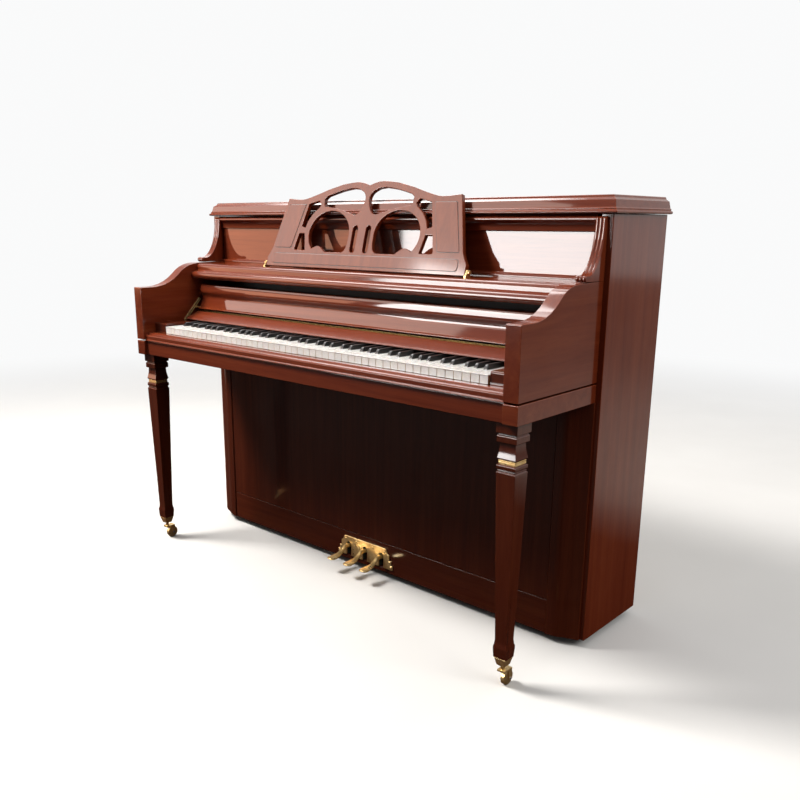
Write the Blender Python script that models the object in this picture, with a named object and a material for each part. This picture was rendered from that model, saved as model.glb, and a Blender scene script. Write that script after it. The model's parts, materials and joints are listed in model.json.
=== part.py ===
"""Upright piano on free-standing front legs, with its moving parts.

Metres, +Z up, +X to the treble end. The keyboard faces -Y. Every piece hangs
from one empty at the arms' front plane, so a Y value below is a depth: the
distance behind the front of the arms.
"""

from math import cos, pi, radians, sin

import bmesh
import bpy
from mathutils import Matrix, Vector

GAP = 0.0003  # between faces that meet
DEPTH = 0.606  # arms' front to the lid hinge's back

# keyboard
KEY_WIDTH = 0.0235
NATURALS = 52
KEYS_HALF = NATURALS * KEY_WIDTH / 2
KEY_FRONT = 0.039
KEY_TOP = 0.7196
KEY_UNDER = 0.6985
KEY_HEAD = 0.0495  # length of a natural in front of the sharps
KEY_END = 0.433
KEY_CLEAR = 0.0008  # side clearance between neighbouring keys
SHARP_WIDTH = 0.0095
SHARP_TOP = 0.7306
BALANCE = 0.275  # depth of the keys' pivots
FIRST_SINGLE = 23  # the C in the middle, counted in naturals from the bass end
SINGLE_NATURALS = 3

# case
ARM_HALF = 0.7145
ARM_WALL = 0.038
ARM_IN = ARM_HALF - ARM_WALL
ARM_UNDER = 0.6768
ARM_FRONT_TOP = 0.838
ARM_BACK_TOP = 0.907
BED_UNDER = 0.629
BED_TOP = 0.6724
SIDE_OUT = 0.7277
SIDE_IN = 0.6977
SIDE_FRONT = 0.3274
SIDE_BACK = 0.600
CASE_UNDER = 0.0205
CASE_TOP = 1.0551
SHELF_TOP = 0.9047
SHELF_UNDER = 0.8581
REBATE = 0.0005  # the shelf is this much lower under the music desk
REBATE_FRONT = 0.2508
PANEL_HALF = 0.6882
PANEL_FRONT = 0.3225
PANEL_BACK = 0.350
PANEL_UNDER = 0.9087
FIELD_FACE = 0.335
LOWER_FRONT = 0.300  # knee panel and toe rail
LOWER_HALF = 0.6315

# lid
LID_UNDER = 1.0558
LID_HALF = 0.740
LID_FRONT = 0.3165
LID_BACK = 0.602
LID_AXIS = (0.6035, 1.0360)

# fallboard
FALL_HALF = 0.6500
FALL_AXIS = (0.1925, 0.7578)
STAY_FOOT = (0.157, 0.729)
STAY_LENGTH = 0.085
STAY_SLOPE = radians(47)
STAY_THICK = 0.0035
STAY_WIDTH = 0.0094

# music desk
DESK_LEAN = radians(15.3)
DESK_THICK = 0.0125
DESK_FOOT = (0.2556, 0.9062)
DESK_BOTTOM = 0.0025
DESK_AXIS = (0.00625, 0.012)  # in the desk's own thickness and height

# legs
LEG_X = 0.679
LEG_Y = 0.043
WHEEL_RADIUS = 0.0185
WHEEL_TRAIL = 0.017

# pedals
PEDAL_PITCH = 0.0675
PEDALS_X = (-PEDAL_PITCH, 0, PEDAL_PITCH)
PEDAL_AXIS = (0.420, 0.062)


def clear_scene():
    for old in list(bpy.data.objects):
        bpy.data.objects.remove(old, do_unlink=True)


def material(name, colour, roughness, metallic=0.0):
    found = bpy.data.materials.get(name)
    if found:
        return found
    made = bpy.data.materials.new(name)
    made.use_nodes = True
    shader = made.node_tree.nodes["Principled BSDF"]
    shader.inputs["Base Color"].default_value = (*colour, 1.0)
    shader.inputs["Roughness"].default_value = roughness
    shader.inputs["Metallic"].default_value = metallic
    made.diffuse_color = (*colour, 1.0)
    return made


def mahogany():
    return material("mahogany", (0.16, 0.032, 0.014), 0.22)


def brass():
    return material("brass", (0.78, 0.53, 0.21), 0.2, 1.0)


def ivory_plastic():
    return material("ivory_plastic", (0.84, 0.84, 0.80), 0.25)


def ebony_plastic():
    return material("ebony_plastic", (0.012, 0.012, 0.013), 0.3)


def spruce():
    return material("spruce", (0.55, 0.36, 0.17), 0.6)


def maple():
    return material("maple", (0.60, 0.42, 0.23), 0.5)


def bronze_iron():
    return material("bronze_iron", (0.45, 0.29, 0.10), 0.4, 0.6)


def rubber():
    return material("black_rubber", (0.02, 0.02, 0.02), 0.7)


def catmull(points, steps=4):
    """Points of a smooth open curve through the given ones."""
    made = []
    for i in range(len(points) - 1):
        before = points[max(i - 1, 0)]
        start, end = points[i], points[i + 1]
        after = points[min(i + 2, len(points) - 1)]
        for step in range(steps):
            t = step / steps
            made.append(
                tuple(
                    0.5
                    * (
                        2 * b
                        + (c - a) * t
                        + (2 * a - 5 * b + 4 * c - d) * t**2
                        + (3 * b - a - 3 * c + d) * t**3
                    )
                    for a, b, c, d in zip(before, start, end, after)
                )
            )
    return made + [tuple(points[-1])]


def arc(centre, radii, start, end, steps):
    """Points of an elliptical arc, angles in degrees."""
    turns = [radians(start + (end - start) * i / steps) for i in range(steps + 1)]
    return [(centre[0] + radii[0] * cos(t), centre[1] + radii[1] * sin(t)) for t in turns]


def mirrored(half):
    """A closed outline from its right half, listed from the centre line to the centre line."""
    left = [(-x, y) for x, y in reversed(half) if abs(x) > 1e-6]
    return half + left


# what each flat outline's two numbers are, by the axis it is extruded along
PLANES = {"X": (1, 2), "Y": (0, 2), "Z": (0, 1)}


def finish(name, mesh, look, pivot=(0, 0, 0), turn=0.0, round_angle=None):
    """The named object of a mesh made in depth coordinates, with its origin moved to its pivot."""
    shift = Matrix.Rotation(-turn, 4, "X") @ Matrix.Translation(-Vector(pivot))
    mesh.transform(shift)
    made = bpy.data.objects.new(name, mesh)
    made.location = pivot
    made.rotation_euler = (turn, 0, 0)
    made.parent = bpy.data.objects["piano_front"]
    made.data.materials.append(look)
    bpy.context.scene.collection.objects.link(made)
    if round_angle:
        mesh.shade_smooth()
        mesh.set_sharp_from_angle(angle=radians(round_angle))
    return made


def solid(loops, axis, low, high):
    """A bmesh of flat outlines, the first one outside and the rest holes, extruded along an axis."""
    along = "XYZ".index(axis)
    first, second = PLANES[axis]
    work = bmesh.new()
    edges = []
    for loop in loops:
        corners = []
        for a, b in loop:
            place = [0.0, 0.0, 0.0]
            place[first], place[second], place[along] = a, b, low
            corners.append(work.verts.new(place))
        edges += [work.edges.new((u, v)) for u, v in zip(corners, corners[1:] + corners[:1])]
    bmesh.ops.triangle_fill(work, use_beauty=True, use_dissolve=False, edges=edges)
    raised = bmesh.ops.extrude_face_region(work, geom=work.faces[:], use_keep_orig=True)
    move = [0.0, 0.0, 0.0]
    move[along] = high - low
    corners = [v for v in raised["geom"] if isinstance(v, bmesh.types.BMVert)]
    bmesh.ops.translate(work, verts=corners, vec=move)
    bmesh.ops.recalc_face_normals(work, faces=work.faces[:])
    return work


def to_mesh(name, *works):
    """One mesh of one or more bmeshes that don't touch."""
    mesh = bpy.data.meshes.new(name)
    whole = works[0]
    for more in works[1:]:
        extra = bpy.data.meshes.new("extra")
        more.to_mesh(extra)
        whole.from_mesh(extra)
        bpy.data.meshes.remove(extra)
        more.free()
    whole.to_mesh(mesh)
    whole.free()
    return mesh


def extruded(name, loops, axis, low, high, look, **where):
    return finish(name, to_mesh(name, solid(loops, axis, low, high)), look, **where)


def rings_to_bmesh(rings):
    """A closed skin over rings of equally many points, with flat ends."""
    work = bmesh.new()
    rows = [[work.verts.new(p) for p in ring] for ring in rings]
    for below, above in zip(rows, rows[1:]):
        for i in range(len(below)):
            j = (i + 1) % len(below)
            work.faces.new((below[i], below[j], above[j], above[i]))
    work.faces.new(list(reversed(rows[0])))
    work.faces.new(rows[-1])
    bmesh.ops.recalc_face_normals(work, faces=work.faces[:])
    return work


def square_stack(centre, sections):
    """Square sections (height, half side) stacked round a vertical line."""
    x, y = centre
    return [
        [(x - h, y - h, z), (x + h, y - h, z), (x + h, y + h, z), (x - h, y + h, z)]
        for z, h in sections
    ]


def moulded_slab(half, front, back, profile):
    """A slab whose front and ends follow a moulding: (inset, height) from bottom to top."""
    return [
        [(-half + i, front + i, z), (half - i, front + i, z), (half - i, back, z), (-half + i, back, z)]
        for i, z in profile
    ]


def turned(centre, profile, sides=24):
    """Rings round an axis along X: (x, radius) pairs."""
    x0, y0, z0 = centre
    return [
        [
            (x0 + x, y0 + r * cos(2 * pi * i / sides), z0 + r * sin(2 * pi * i / sides))
            for i in range(sides)
        ]
        for x, r in profile
    ]


def united(name, base, *others):
    """The union of overlapping bmeshes, as one mesh."""
    helpers = []
    for work in (base, *others):
        helper = bpy.data.objects.new("helper", to_mesh("helper", work))
        bpy.context.scene.collection.objects.link(helper)
        helpers.append(helper)
    for other in helpers[1:]:
        join = helpers[0].modifiers.new("join", "BOOLEAN")
        join.operation = "UNION"
        join.object = other
    graph = bpy.context.evaluated_depsgraph_get()
    mesh = bpy.data.meshes.new_from_object(helpers[0].evaluated_get(graph))
    mesh.name = name
    for helper in helpers:
        bpy.data.objects.remove(helper, do_unlink=True)
    return mesh


def both_sides(make):
    """Makes a piece at the treble end, then its mirror image at the bass end."""
    for side, name in ((1, "right"), (-1, "left")):
        make(side, name)


def flip(points, side):
    return [(side * x, y) for x, y in points]


def span(low, high, side):
    return (low, high) if side > 0 else (-high, -low)


# ---- case ----


def arms():
    rise, turn_at = 0.045, 0.142
    level = 0.218
    middle = ARM_FRONT_TOP + 0.0375

    def make(side, name):
        hollow = sweep_arc((rise, ARM_FRONT_TOP), (turn_at, middle), 5)
        crown = sweep_arc((level, ARM_BACK_TOP), (turn_at, middle), 5)
        top = hollow + list(reversed(crown))[1:]
        back = SIDE_FRONT - 0.0009
        outline = [(0, ARM_UNDER), (0, ARM_FRONT_TOP - 0.0015), (0.0015, ARM_FRONT_TOP)]
        outline += top + [(back, ARM_BACK_TOP + 0.0013), (back, ARM_UNDER)]
        low, high = span(ARM_IN, ARM_HALF, side)
        extruded(f"arm_{name}", [outline], "X", low, high, mahogany())

    both_sides(make)


def sweep_arc(level, tilted, steps):
    """Arc points from a level tangent at one point to the other point."""
    run, rise = tilted[0] - level[0], tilted[1] - level[1]
    radius = (run**2 + rise**2) / (2 * rise)
    full = 2 * Vector((abs(run), abs(rise))).angle(Vector((1, 0)))
    along = 1 if run > 0 else -1
    turns = [full * i / steps for i in range(steps + 1)]
    return [
        (level[0] + along * abs(radius) * sin(t), level[1] + radius * (1 - cos(t))) for t in turns
    ]


def case_sides():
    def make(side, name):
        outline = [
            (SIDE_FRONT, CASE_UNDER),
            (SIDE_BACK, CASE_UNDER),
            (SIDE_BACK, CASE_TOP),
            (SIDE_FRONT, CASE_TOP),
        ]
        low, high = span(SIDE_IN, SIDE_OUT, side)
        extruded(f"case_side_{name}", [outline], "X", low, high, mahogany())

    both_sides(make)


def keybed():
    back_in, back = SIDE_IN - GAP, 0.450
    step = SIDE_FRONT - GAP
    half = [
        (0, 0.010),
        (ARM_IN, 0.010),
        (ARM_IN, 0),
        (ARM_HALF, 0),
        (ARM_HALF, step),
        (back_in, step),
        (back_in, back),
        (0, back),
    ]
    extruded("keybed", [mirrored(half)], "Z", BED_UNDER, BED_TOP, mahogany())


def key_slip():
    low, high = BED_TOP + GAP, 0.6985
    outline = [(0.036, low), (0.006, low), (0.004, low + 0.002), (0.006, low + 0.004)]
    outline += [(0.008, low + 0.005), (0.008, 0.6885), (0.0105, 0.6915), (0.016, 0.6925)]
    outline += [(0.0175, 0.6955), (0.021, high), (0.036, high)]
    half = ARM_IN - GAP
    extruded("key_slip", [outline], "X", -half, half, mahogany())


def key_blocks():
    def make(side, name):
        low, high = span(KEYS_HALF + 0.0012, ARM_IN - GAP, side)
        base, top = BED_TOP + GAP, KEY_TOP + 0.0085
        rear = KEY_TOP + 0.0004
        outline = [(0.0365, base), (0.200, base), (0.200, rear), (0.142, rear), (0.136, top), (0.048, top)]
        outline += [(0.0445, top - 0.0035), (0.0445, 0.699), (0.0365, 0.697)]
        extruded(f"key_block_{name}", [outline], "X", low, high, mahogany())

    both_sides(make)


def key_frame():
    low = BED_TOP + GAP
    ends = 0.600

    def rail(front, back, top):
        return solid([box_loop(front, back, low, top)], "X", -ends, ends)

    def stile(x):
        return solid([box_loop(0.065, 0.385, low, 0.6775)], "X", x - 0.02, x + 0.02)

    rails = [rail(0.055, 0.085, 0.6845), rail(0.266, 0.284, KEY_UNDER - 0.0006)]
    rails.append(rail(0.365, 0.388, 0.690))
    stiles = [stile(x) for x in (-0.57, -0.20, 0.20, 0.57)]
    mesh = united("key_frame", *rails, *stiles)
    finish("key_frame", mesh, maple())


def box_loop(a0, a1, b0, b1):
    return [(a0, b0), (a1, b0), (a1, b1), (a0, b1)]


def desk_shelf():
    nose = arc((0.2245, 0.8930), (0.012, 0.0117), 90, 180, 4)
    lower = arc((0.1985, 0.8698), (0.011, 0.0117), 100, 270, 7)
    outline = nose + [(0.2125, 0.8855), (0.2085, 0.8825)] + lower
    outline += [(0.214, SHELF_UNDER), (0.214, 0.886), (PANEL_BACK, 0.886)]
    outline += [(PANEL_BACK, PANEL_UNDER - GAP), (PANEL_FRONT, PANEL_UNDER - GAP)]
    outline += [(PANEL_FRONT, SHELF_TOP - REBATE), (REBATE_FRONT, SHELF_TOP - REBATE)]
    outline += [(REBATE_FRONT, SHELF_TOP)]
    half = ARM_IN - GAP
    extruded("desk_shelf", [outline], "X", -half, half, mahogany())


def upper_panel():
    back = PANEL_BACK
    low, top = PANEL_UNDER, 1.0546
    foot = [(PANEL_FRONT, low), (PANEL_FRONT, 0.9105)]
    foot += arc((PANEL_FRONT + 0.009, 0.9105), (0.009, 0.0065), 180, 100, 3)
    field = [(FIELD_FACE, 0.9175), (FIELD_FACE, 1.0157), (0.331, 1.0172)]
    cove = arc((0.3235, 1.0185), (0.0075, 0.019), 20, 80, 4)
    bead = arc((0.325, 1.0435), (0.0045, 0.0052), -110, -255, 6)
    outline = foot + field + cove + bead + [(0.328, top), (back, top), (back, low)]
    extruded("upper_panel", [outline], "X", -PANEL_HALF, PANEL_HALF, mahogany())


def scrolls():
    def make(side, name):
        back = SIDE_FRONT - 0.0009
        foot = ARM_BACK_TOP + 0.0017
        roll = arc((0.2505, 0.9165), (0.0080, 0.0075), 270, 80, 7)
        sweep = [
            (0.2575 + 0.061 * sin(radians(t)), 0.9230 + 0.127 * (1 - cos(radians(t))))
            for t in range(0, 91, 10)
        ]
        outline = roll + sweep + [(back, 1.050), (back, foot)]
        low, high = span(0.6885, ARM_HALF, side)
        extruded(f"scroll_{name}", [outline], "X", low, high, mahogany())

    both_sides(make)


def lower_case():
    half = LOWER_HALF
    panel_top = BED_UNDER - GAP
    knee = box_loop(-half, half, 0.1125, panel_top)
    extruded("knee_panel", [knee], "Y", LOWER_FRONT, LOWER_FRONT + 0.016, mahogany())
    rail = box_loop(-half, half, CASE_UNDER, 0.1105)
    slots = [box_loop(x - 0.011, x + 0.011, 0.034, 0.088) for x in PEDALS_X]
    extruded("toe_rail", [rail] + slots, "Y", LOWER_FRONT, LOWER_FRONT + 0.030, mahogany())

    def make(side, name):
        inner, outer = half + 0.0006, SIDE_IN - GAP
        ogee = catmull([(0.6505, 0.2972), (0.665, 0.3005), (0.688, 0.3120), (0.7160, 0.3210)], 4)
        plan = [(inner, 0.331), (inner, 0.300), (inner + 0.003, 0.2965)] + ogee
        plan += [(0.7160, SIDE_FRONT - GAP), (outer, SIDE_FRONT - GAP), (outer, 0.331)]
        extruded(f"pilaster_{name}", [flip(plan, side)], "Z", CASE_UNDER, panel_top, mahogany())

    both_sides(make)
    floor = box_loop(-SIDE_IN + GAP, SIDE_IN - GAP, 0.3315, 0.490)
    extruded("bottom_board", [floor], "Z", CASE_UNDER, CASE_UNDER + 0.018, mahogany())


# ---- lid ----


def top_lid():
    half = LID_HALF
    profile = [(0.006, LID_UNDER), (0.0015, LID_UNDER + 0.0008), (0, LID_UNDER + 0.0036)]
    profile += [(0.0015, 1.0627), (0.0050, 1.0638), (0.0052, 1.0652), (0.0044, 1.0666)]
    profile += [(0.0055, 1.0684), (0.0072, 1.0690), (0.0110, 1.0850), (0.0118, 1.0862)]
    profile += [(0.0155, 1.0880), (0.0195, 1.0912), (0.0205, 1.0950), (0.0225, 1.0965)]
    rings = moulded_slab(half, LID_FRONT, LID_BACK, profile)
    mesh = to_mesh("top_lid", rings_to_bmesh(rings))
    finish("top_lid", mesh, mahogany(), pivot=(0, *LID_AXIS))


def lid_hinge():
    length = 1.10
    rings = turned((-length / 2, *LID_AXIS), [(0, 0.0025), (length, 0.0025)], 8)
    leaf = solid([box_loop(0.6004, 0.6030, 1.004, 1.0355)], "X", -length / 2, length / 2)
    finish("lid_hinge", united("lid_hinge", rings_to_bmesh(rings), leaf), brass())


# ---- music desk ----


def desk_outline():
    crown = catmull([(0, 0.2369), (0.022, 0.2437), (0.052, 0.2472), (0.1045, 0.2419)])
    crown += catmull([(0.160, 0.2284), (0.215, 0.2118), (0.262, 0.2020), (0.3235, 0.2060)], 3)
    edge = [(0.3550, 0.080)] + catmull([(0.3605, 0.0585), (0.3680, 0.0440), (0.3772, 0.0300)], 3)
    return mirrored(crown + edge + [(0.3772, DESK_BOTTOM), (0, DESK_BOTTOM)])


def desk_holes():
    """The fretwork's openings in the treble half."""
    hump = catmull([(0.134, 0.0495), (0.145, 0.0575), (0.166, 0.0665), (0.1905, 0.0585)], 3)
    bow = arc((0.1293, 0.1010), (0.0812, 0.0658), -34, 180, 16)
    arch = hump + bow + [(0.0488, 0.0760), (0.0520, 0.0620), (0.0572, 0.0545), (0.0660, 0.0495)]
    slot = arc((0.0247, 0.0582), (0.0092, 0.0092), 180, 360, 6)
    slot += arc((0.0247, 0.1163), (0.0092, 0.0092), 0, 180, 6)
    upper = catmull([(0.0110, 0.183), (0.0080, 0.201), (0.0160, 0.2165), (0.0370, 0.2272)], 3)
    upper += catmull([(0.0620, 0.2298), (0.1040, 0.2235), (0.1570, 0.2100)], 3)
    upper += [(0.1675, 0.2020), (0.1660, 0.1860), (0.1610, 0.1797)]
    upper += catmull([(0.1460, 0.1785), (0.1120, 0.1730), (0.0730, 0.1640), (0.0480, 0.1568)], 2)
    upper += catmull([(0.0400, 0.1553), (0.0290, 0.1585), (0.0190, 0.1680)], 2)
    side = [(0.1895, 0.1965), (0.2305, 0.1875), (0.2462, 0.1225), (0.2310, 0.1187)]
    side += catmull([(0.2240, 0.1370), (0.2090, 0.1580), (0.1850, 0.1770)], 3)
    side += [(0.1800, 0.1850)]
    toe = [(0.2300, 0.1015), (0.2525, 0.1015), (0.2630, 0.0560), (0.2600, 0.0530), (0.2180, 0.0530)]
    return [arch, slot, upper, side, toe]


def music_desk():
    """A fretwork board, drawn flat from its own foot, then leaned back about the desk's axis."""
    holes = desk_holes()
    loops = [desk_outline()] + holes + [flip(loop, -1) for loop in holes]
    mesh = to_mesh("music_desk", solid(loops, "Y", 0, DESK_THICK))
    mesh.transform(Matrix.Translation((0, -DESK_AXIS[0], -DESK_AXIS[1])))
    made = finish("music_desk", mesh, mahogany())
    lean = Matrix.Rotation(-DESK_LEAN, 3, "X")
    made.location = Vector((0, *DESK_FOOT)) + lean @ Vector((0, *DESK_AXIS))
    made.rotation_euler = (-DESK_LEAN, 0, 0)


def desk_pivots():
    def make(side, name):
        low, high = span(0.3785, 0.3845, side)
        foot = SHELF_TOP - REBATE + GAP
        outline = [(REBATE_FRONT + GAP, foot), (0.2715, foot), (0.2715, 0.913)]
        outline += arc((0.2648, 0.9161), (0.0067, 0.0067), 0, 180, 6)
        outline += [(REBATE_FRONT + GAP, 0.908)]
        extruded(f"desk_pivot_{name}", [outline], "X", low, high, brass())

    both_sides(make)


# ---- fallboard ----


def nameboard():
    outline = [(0.1425, 0.7328), (0.1425, 0.7358), (0.1445, 0.7376), (0.1885, 0.7545)]
    outline += [(0.2450, 0.7545), (0.2450, 0.7445), (0.1920, 0.7440), (0.1560, 0.7330)]
    extruded("nameboard", [outline], "X", -FALL_HALF, FALL_HALF, mahogany())


def fallboard_hinge():
    rings = turned((-FALL_HALF, *FALL_AXIS), [(0, 0.0022), (2 * FALL_HALF, 0.0022)], 10)
    foot = FALL_AXIS[1] - 0.0029
    leaf = solid([box_loop(0.1915, 0.1990, foot, foot + 0.0012)], "X", -FALL_HALF, FALL_HALF)
    finish("fallboard_hinge", united("fallboard_hinge", rings_to_bmesh(rings), leaf), brass())


def fallboard():
    bead = [(0.1965, 0.7612), (0.1938, 0.7622), (0.1932, 0.7640), (0.1945, 0.7662)]
    face = [(0.1985, 0.7675), (0.2095, 0.7920)]
    hollow = catmull([(0.2118, 0.7978), (0.2118, 0.8040), (0.2088, 0.8090), (0.2050, 0.8130)], 2)
    nose = [(0.2036, 0.8165), (0.2037, 0.8240), (0.2052, 0.8320), (0.2072, 0.8375)]
    nose += [(0.2110, 0.8400), (0.2180, 0.8405)]
    back = [(0.2400, 0.8400), (0.2400, 0.8200), (0.2140, 0.7630), (0.2060, 0.7612)]
    outline = bead + face + hollow + nose + back
    mesh = to_mesh("fallboard", solid([outline], "X", -FALL_HALF, FALL_HALF))
    finish("fallboard", mesh, mahogany(), pivot=(0, *FALL_AXIS))


def fallboard_arms():
    def make(side, name):
        low, high = span(ARM_IN - 0.0005 - STAY_THICK, ARM_IN - 0.0005, side)
        round_end, slot_end = (STAY_WIDTH / 2, STAY_WIDTH / 2), (0.0016, 0.0016)
        foot, reach = STAY_FOOT, STAY_LENGTH
        ends = arc((0, 0), round_end, 90, 270, 6) + arc((reach, 0), round_end, -90, 90, 6)
        slot = arc((0.030, 0), slot_end, 90, 270, 4)
        slot += arc((reach - 0.006, 0), slot_end, -90, 90, 4)
        loops = [
            [
                (
                    foot[0] + a * cos(STAY_SLOPE) - b * sin(STAY_SLOPE),
                    foot[1] + a * sin(STAY_SLOPE) + b * cos(STAY_SLOPE),
                )
                for a, b in loop
            ]
            for loop in (ends, slot)
        ]
        middle = (low + high) / 2
        pivot = (middle, *foot)
        extruded(f"fallboard_arm_{name}", loops, "X", low, high, brass(), pivot=pivot)

    both_sides(make)


# ---- legs, casters and feet ----

LEG_SECTIONS = [
    (0.0770, 0.0168),
    (0.1000, 0.0182),
    (0.1055, 0.0180),
    (0.1090, 0.0166),
    (0.1200, 0.0153),
    (0.5120, 0.0243),
    (0.5175, 0.0243),
    (0.5195, 0.0215),
    (0.5205, 0.0226),
    (0.5225, 0.0226),
    (0.5235, 0.0212),
    (0.5245, 0.0236),
    (0.5265, 0.0243),
    (0.5330, 0.0243),
    (0.5350, 0.0225),
    (0.5355, 0.0206),
    (0.5455, 0.0206),
    (0.5460, 0.0225),
    (0.5490, 0.0240),
    (0.5570, 0.0222),
    (0.5680, 0.0203),
    (0.5825, 0.0195),
    (0.5840, 0.0240),
    (0.5855, 0.0252),
    (0.5980, 0.0252),
    (0.6000, 0.0240),
    (0.6012, 0.0225),
    (0.6035, 0.0225),
    (0.6045, 0.0262),
    (0.6055, 0.0270),
]


def legs():
    def make(side, name):
        centre = (side * LEG_X, LEG_Y)
        sections = LEG_SECTIONS + [(BED_UNDER - GAP, 0.0270)]
        mesh = to_mesh("leg", rings_to_bmesh(square_stack(centre, sections)))
        finish(f"leg_{name}", mesh, mahogany(), pivot=(*centre, 0))
        socket = [(0.0560, 0.0092), (0.0575, 0.0112), (0.0740, 0.0152), (0.0767, 0.0157)]
        mesh = to_mesh("ferrule", rings_to_bmesh(square_stack(centre, socket)))
        finish(f"leg_ferrule_{name}", mesh, brass(), pivot=(*centre, 0))

    both_sides(make)


def casters():
    half_wheel = 0.0070
    axle = WHEEL_RADIUS
    cheek = half_wheel + 0.0009

    def make(side, name):
        x, y = side * LEG_X, LEG_Y
        wheel_y = y + WHEEL_TRAIL
        profile = [(-half_wheel, 0.0130), (-half_wheel + 0.0025, WHEEL_RADIUS)]
        profile += [(half_wheel - 0.0025, WHEEL_RADIUS), (half_wheel, 0.0130)]
        centre = (x, wheel_y, axle)
        mesh = to_mesh("wheel", rings_to_bmesh(turned(centre, profile)))
        finish(f"caster_wheel_{name}", mesh, rubber(), pivot=centre, round_angle=40)
        plate = box_loop(y - 0.008, wheel_y + 0.006, 0.0395, 0.0445)
        bridge = solid([plate], "X", x - cheek - 0.0025, x + cheek + 0.0025)
        stem = rings_to_bmesh(
            [
                [
                    (x + 0.0055 * cos(pi * i / 6), y + 0.0055 * sin(pi * i / 6), z)
                    for i in range(12)
                ]
                for z in (0.0440, 0.0557)
            ]
        )
        wings = []
        for edge in (-1, 1):
            outline = [(wheel_y - 0.0060, 0.0400), (wheel_y + 0.0055, 0.0400)]
            outline += arc((wheel_y, axle), (0.0052, 0.0052), 0, -180, 6)
            low, high = sorted((x + edge * cheek, x + edge * (cheek + 0.0025)))
            wings.append(solid([outline], "X", low, high))
        mesh = united("fork", bridge, stem, *wings)
        finish(f"caster_fork_{name}", mesh, brass(), pivot=(x, y, 0.05))

    both_sides(make)


def rear_glides():
    def make(side, name):
        x, y = side * 0.600, 0.565
        rings = [
            [(x + r * cos(pi * i / 8), y + r * sin(pi * i / 8), z) for i in range(16)]
            for z, r in ((0, 0.018), (0.003, 0.021), (CASE_UNDER - GAP, 0.021))
        ]
        mesh = to_mesh("glide", rings_to_bmesh(rings))
        finish(f"rear_glide_{name}", mesh, rubber(), round_angle=40)

    both_sides(make)


# ---- pedals ----


def pedal_plate():
    """A brass plate with stepped ends and a notch for each pedal."""
    front, top, foot = 0.2955, 0.0965, 0.0345
    notch_half, crown = 0.0095, 0.0700
    round_top = (notch_half, notch_half)
    right = [(0, crown + notch_half)] + arc((0, crown), round_top, 75, 0, 4)
    right += [(notch_half, foot), (PEDAL_PITCH - notch_half, foot)]
    right += arc((PEDAL_PITCH, crown), round_top, 180, 0, 8)
    right += [(PEDAL_PITCH + notch_half, foot), (0.1125, foot), (0.1125, 0.0480)]
    right += [(0.1065, 0.0480), (0.1065, 0.0610), (0.0990, 0.0610), (0.0990, 0.0790)]
    right += [(0.0920, 0.0820), (0.0855, top)]
    extruded("pedal_plate", [mirrored(right)], "Y", front, LOWER_FRONT - GAP, brass())


# depth, height, half width and half height along a pedal, from its pivot to its toe
PEDAL_SECTIONS = [
    (0.4200, 0.0620, 0.0060, 0.0070),
    (0.3000, 0.0650, 0.0060, 0.0065),
    (0.2860, 0.0690, 0.0060, 0.0068),
    (0.2760, 0.0665, 0.0060, 0.0062),
    (0.2660, 0.0570, 0.0070, 0.0055),
    (0.2540, 0.0500, 0.0095, 0.0045),
    (0.2380, 0.0475, 0.0140, 0.0040),
    (0.2260, 0.0468, 0.0168, 0.0036),
    (0.2170, 0.0465, 0.0155, 0.0034),
    (0.2110, 0.0465, 0.0095, 0.0026),
]


def pedals():
    corner = 1 / cos(pi / 8)
    for x, name in zip(PEDALS_X, ("soft", "practice", "sustain")):
        rings = [
            [
                (x + half * corner * cos(turn), d, z + tall * corner * sin(turn))
                for turn in (pi * i / 4 + pi / 8 for i in range(8))
            ]
            for d, z, half, tall in PEDAL_SECTIONS
        ]
        mesh = to_mesh("pedal", rings_to_bmesh(rings))
        finish(f"pedal_{name}", mesh, brass(), pivot=(x, *PEDAL_AXIS), round_angle=40)


# ---- keys ----

SHARP_AFTER = "ACDFG"
SHARP_SHIFT = {"A": 0.003, "C": -0.0025, "D": 0.0025, "F": -0.003, "G": 0.0}


def note(index):
    """The letter of a natural, counted from the bass end."""
    return "ABCDEFG"[index % 7]


def key_x(index):
    return -KEYS_HALF + index * KEY_WIDTH


def sharp_x(index):
    """Middle of the sharp that follows a natural, or None."""
    if not 0 <= index < NATURALS - 1 or note(index) not in SHARP_AFTER:
        return None
    return key_x(index + 1) + SHARP_SHIFT[note(index)]


def natural_edges(index):
    """The head's and the tail's left and right edges."""
    left, right = key_x(index) + KEY_CLEAR / 2, key_x(index + 1) - KEY_CLEAR / 2
    cut = SHARP_WIDTH / 2 + KEY_CLEAR
    before, after = sharp_x(index - 1), sharp_x(index)
    tail_left = left if before is None else before + cut
    tail_right = right if after is None else after - cut
    return left, right, tail_left, tail_right


def naturals(name, first, last):
    """Neighbouring naturals as one comb: heads, tails and a bar that joins their ends."""
    shoulder, bar = KEY_FRONT + KEY_HEAD, KEY_END - 0.008
    outline = []
    for index in range(first, last + 1):
        left, right, tail_left, tail_right = natural_edges(index)
        teeth = [(tail_left, bar), (tail_left, shoulder), (left, shoulder), (left, KEY_FRONT)]
        teeth += [(right, KEY_FRONT), (right, shoulder), (tail_right, shoulder), (tail_right, bar)]
        outline += without_repeats(teeth)
    far = outline[-1][0]
    near = outline[0][0]
    outline = [(near, KEY_END)] + outline + [(far, KEY_END)]
    pivot = (0, BALANCE, KEY_UNDER)
    extruded(name, [outline], "Z", KEY_UNDER, KEY_TOP, ivory_plastic(), pivot=pivot)


def without_repeats(points):
    kept = []
    for point in points:
        if not kept or (Vector(point) - Vector(kept[-1])).length > 1e-6:
            kept.append(point)
    return kept


SHARP_END = 0.410
SHARP_BAR = (0.396, 0.676, 0.686)  # depth, underside and top of the bar that joins sharps


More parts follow.
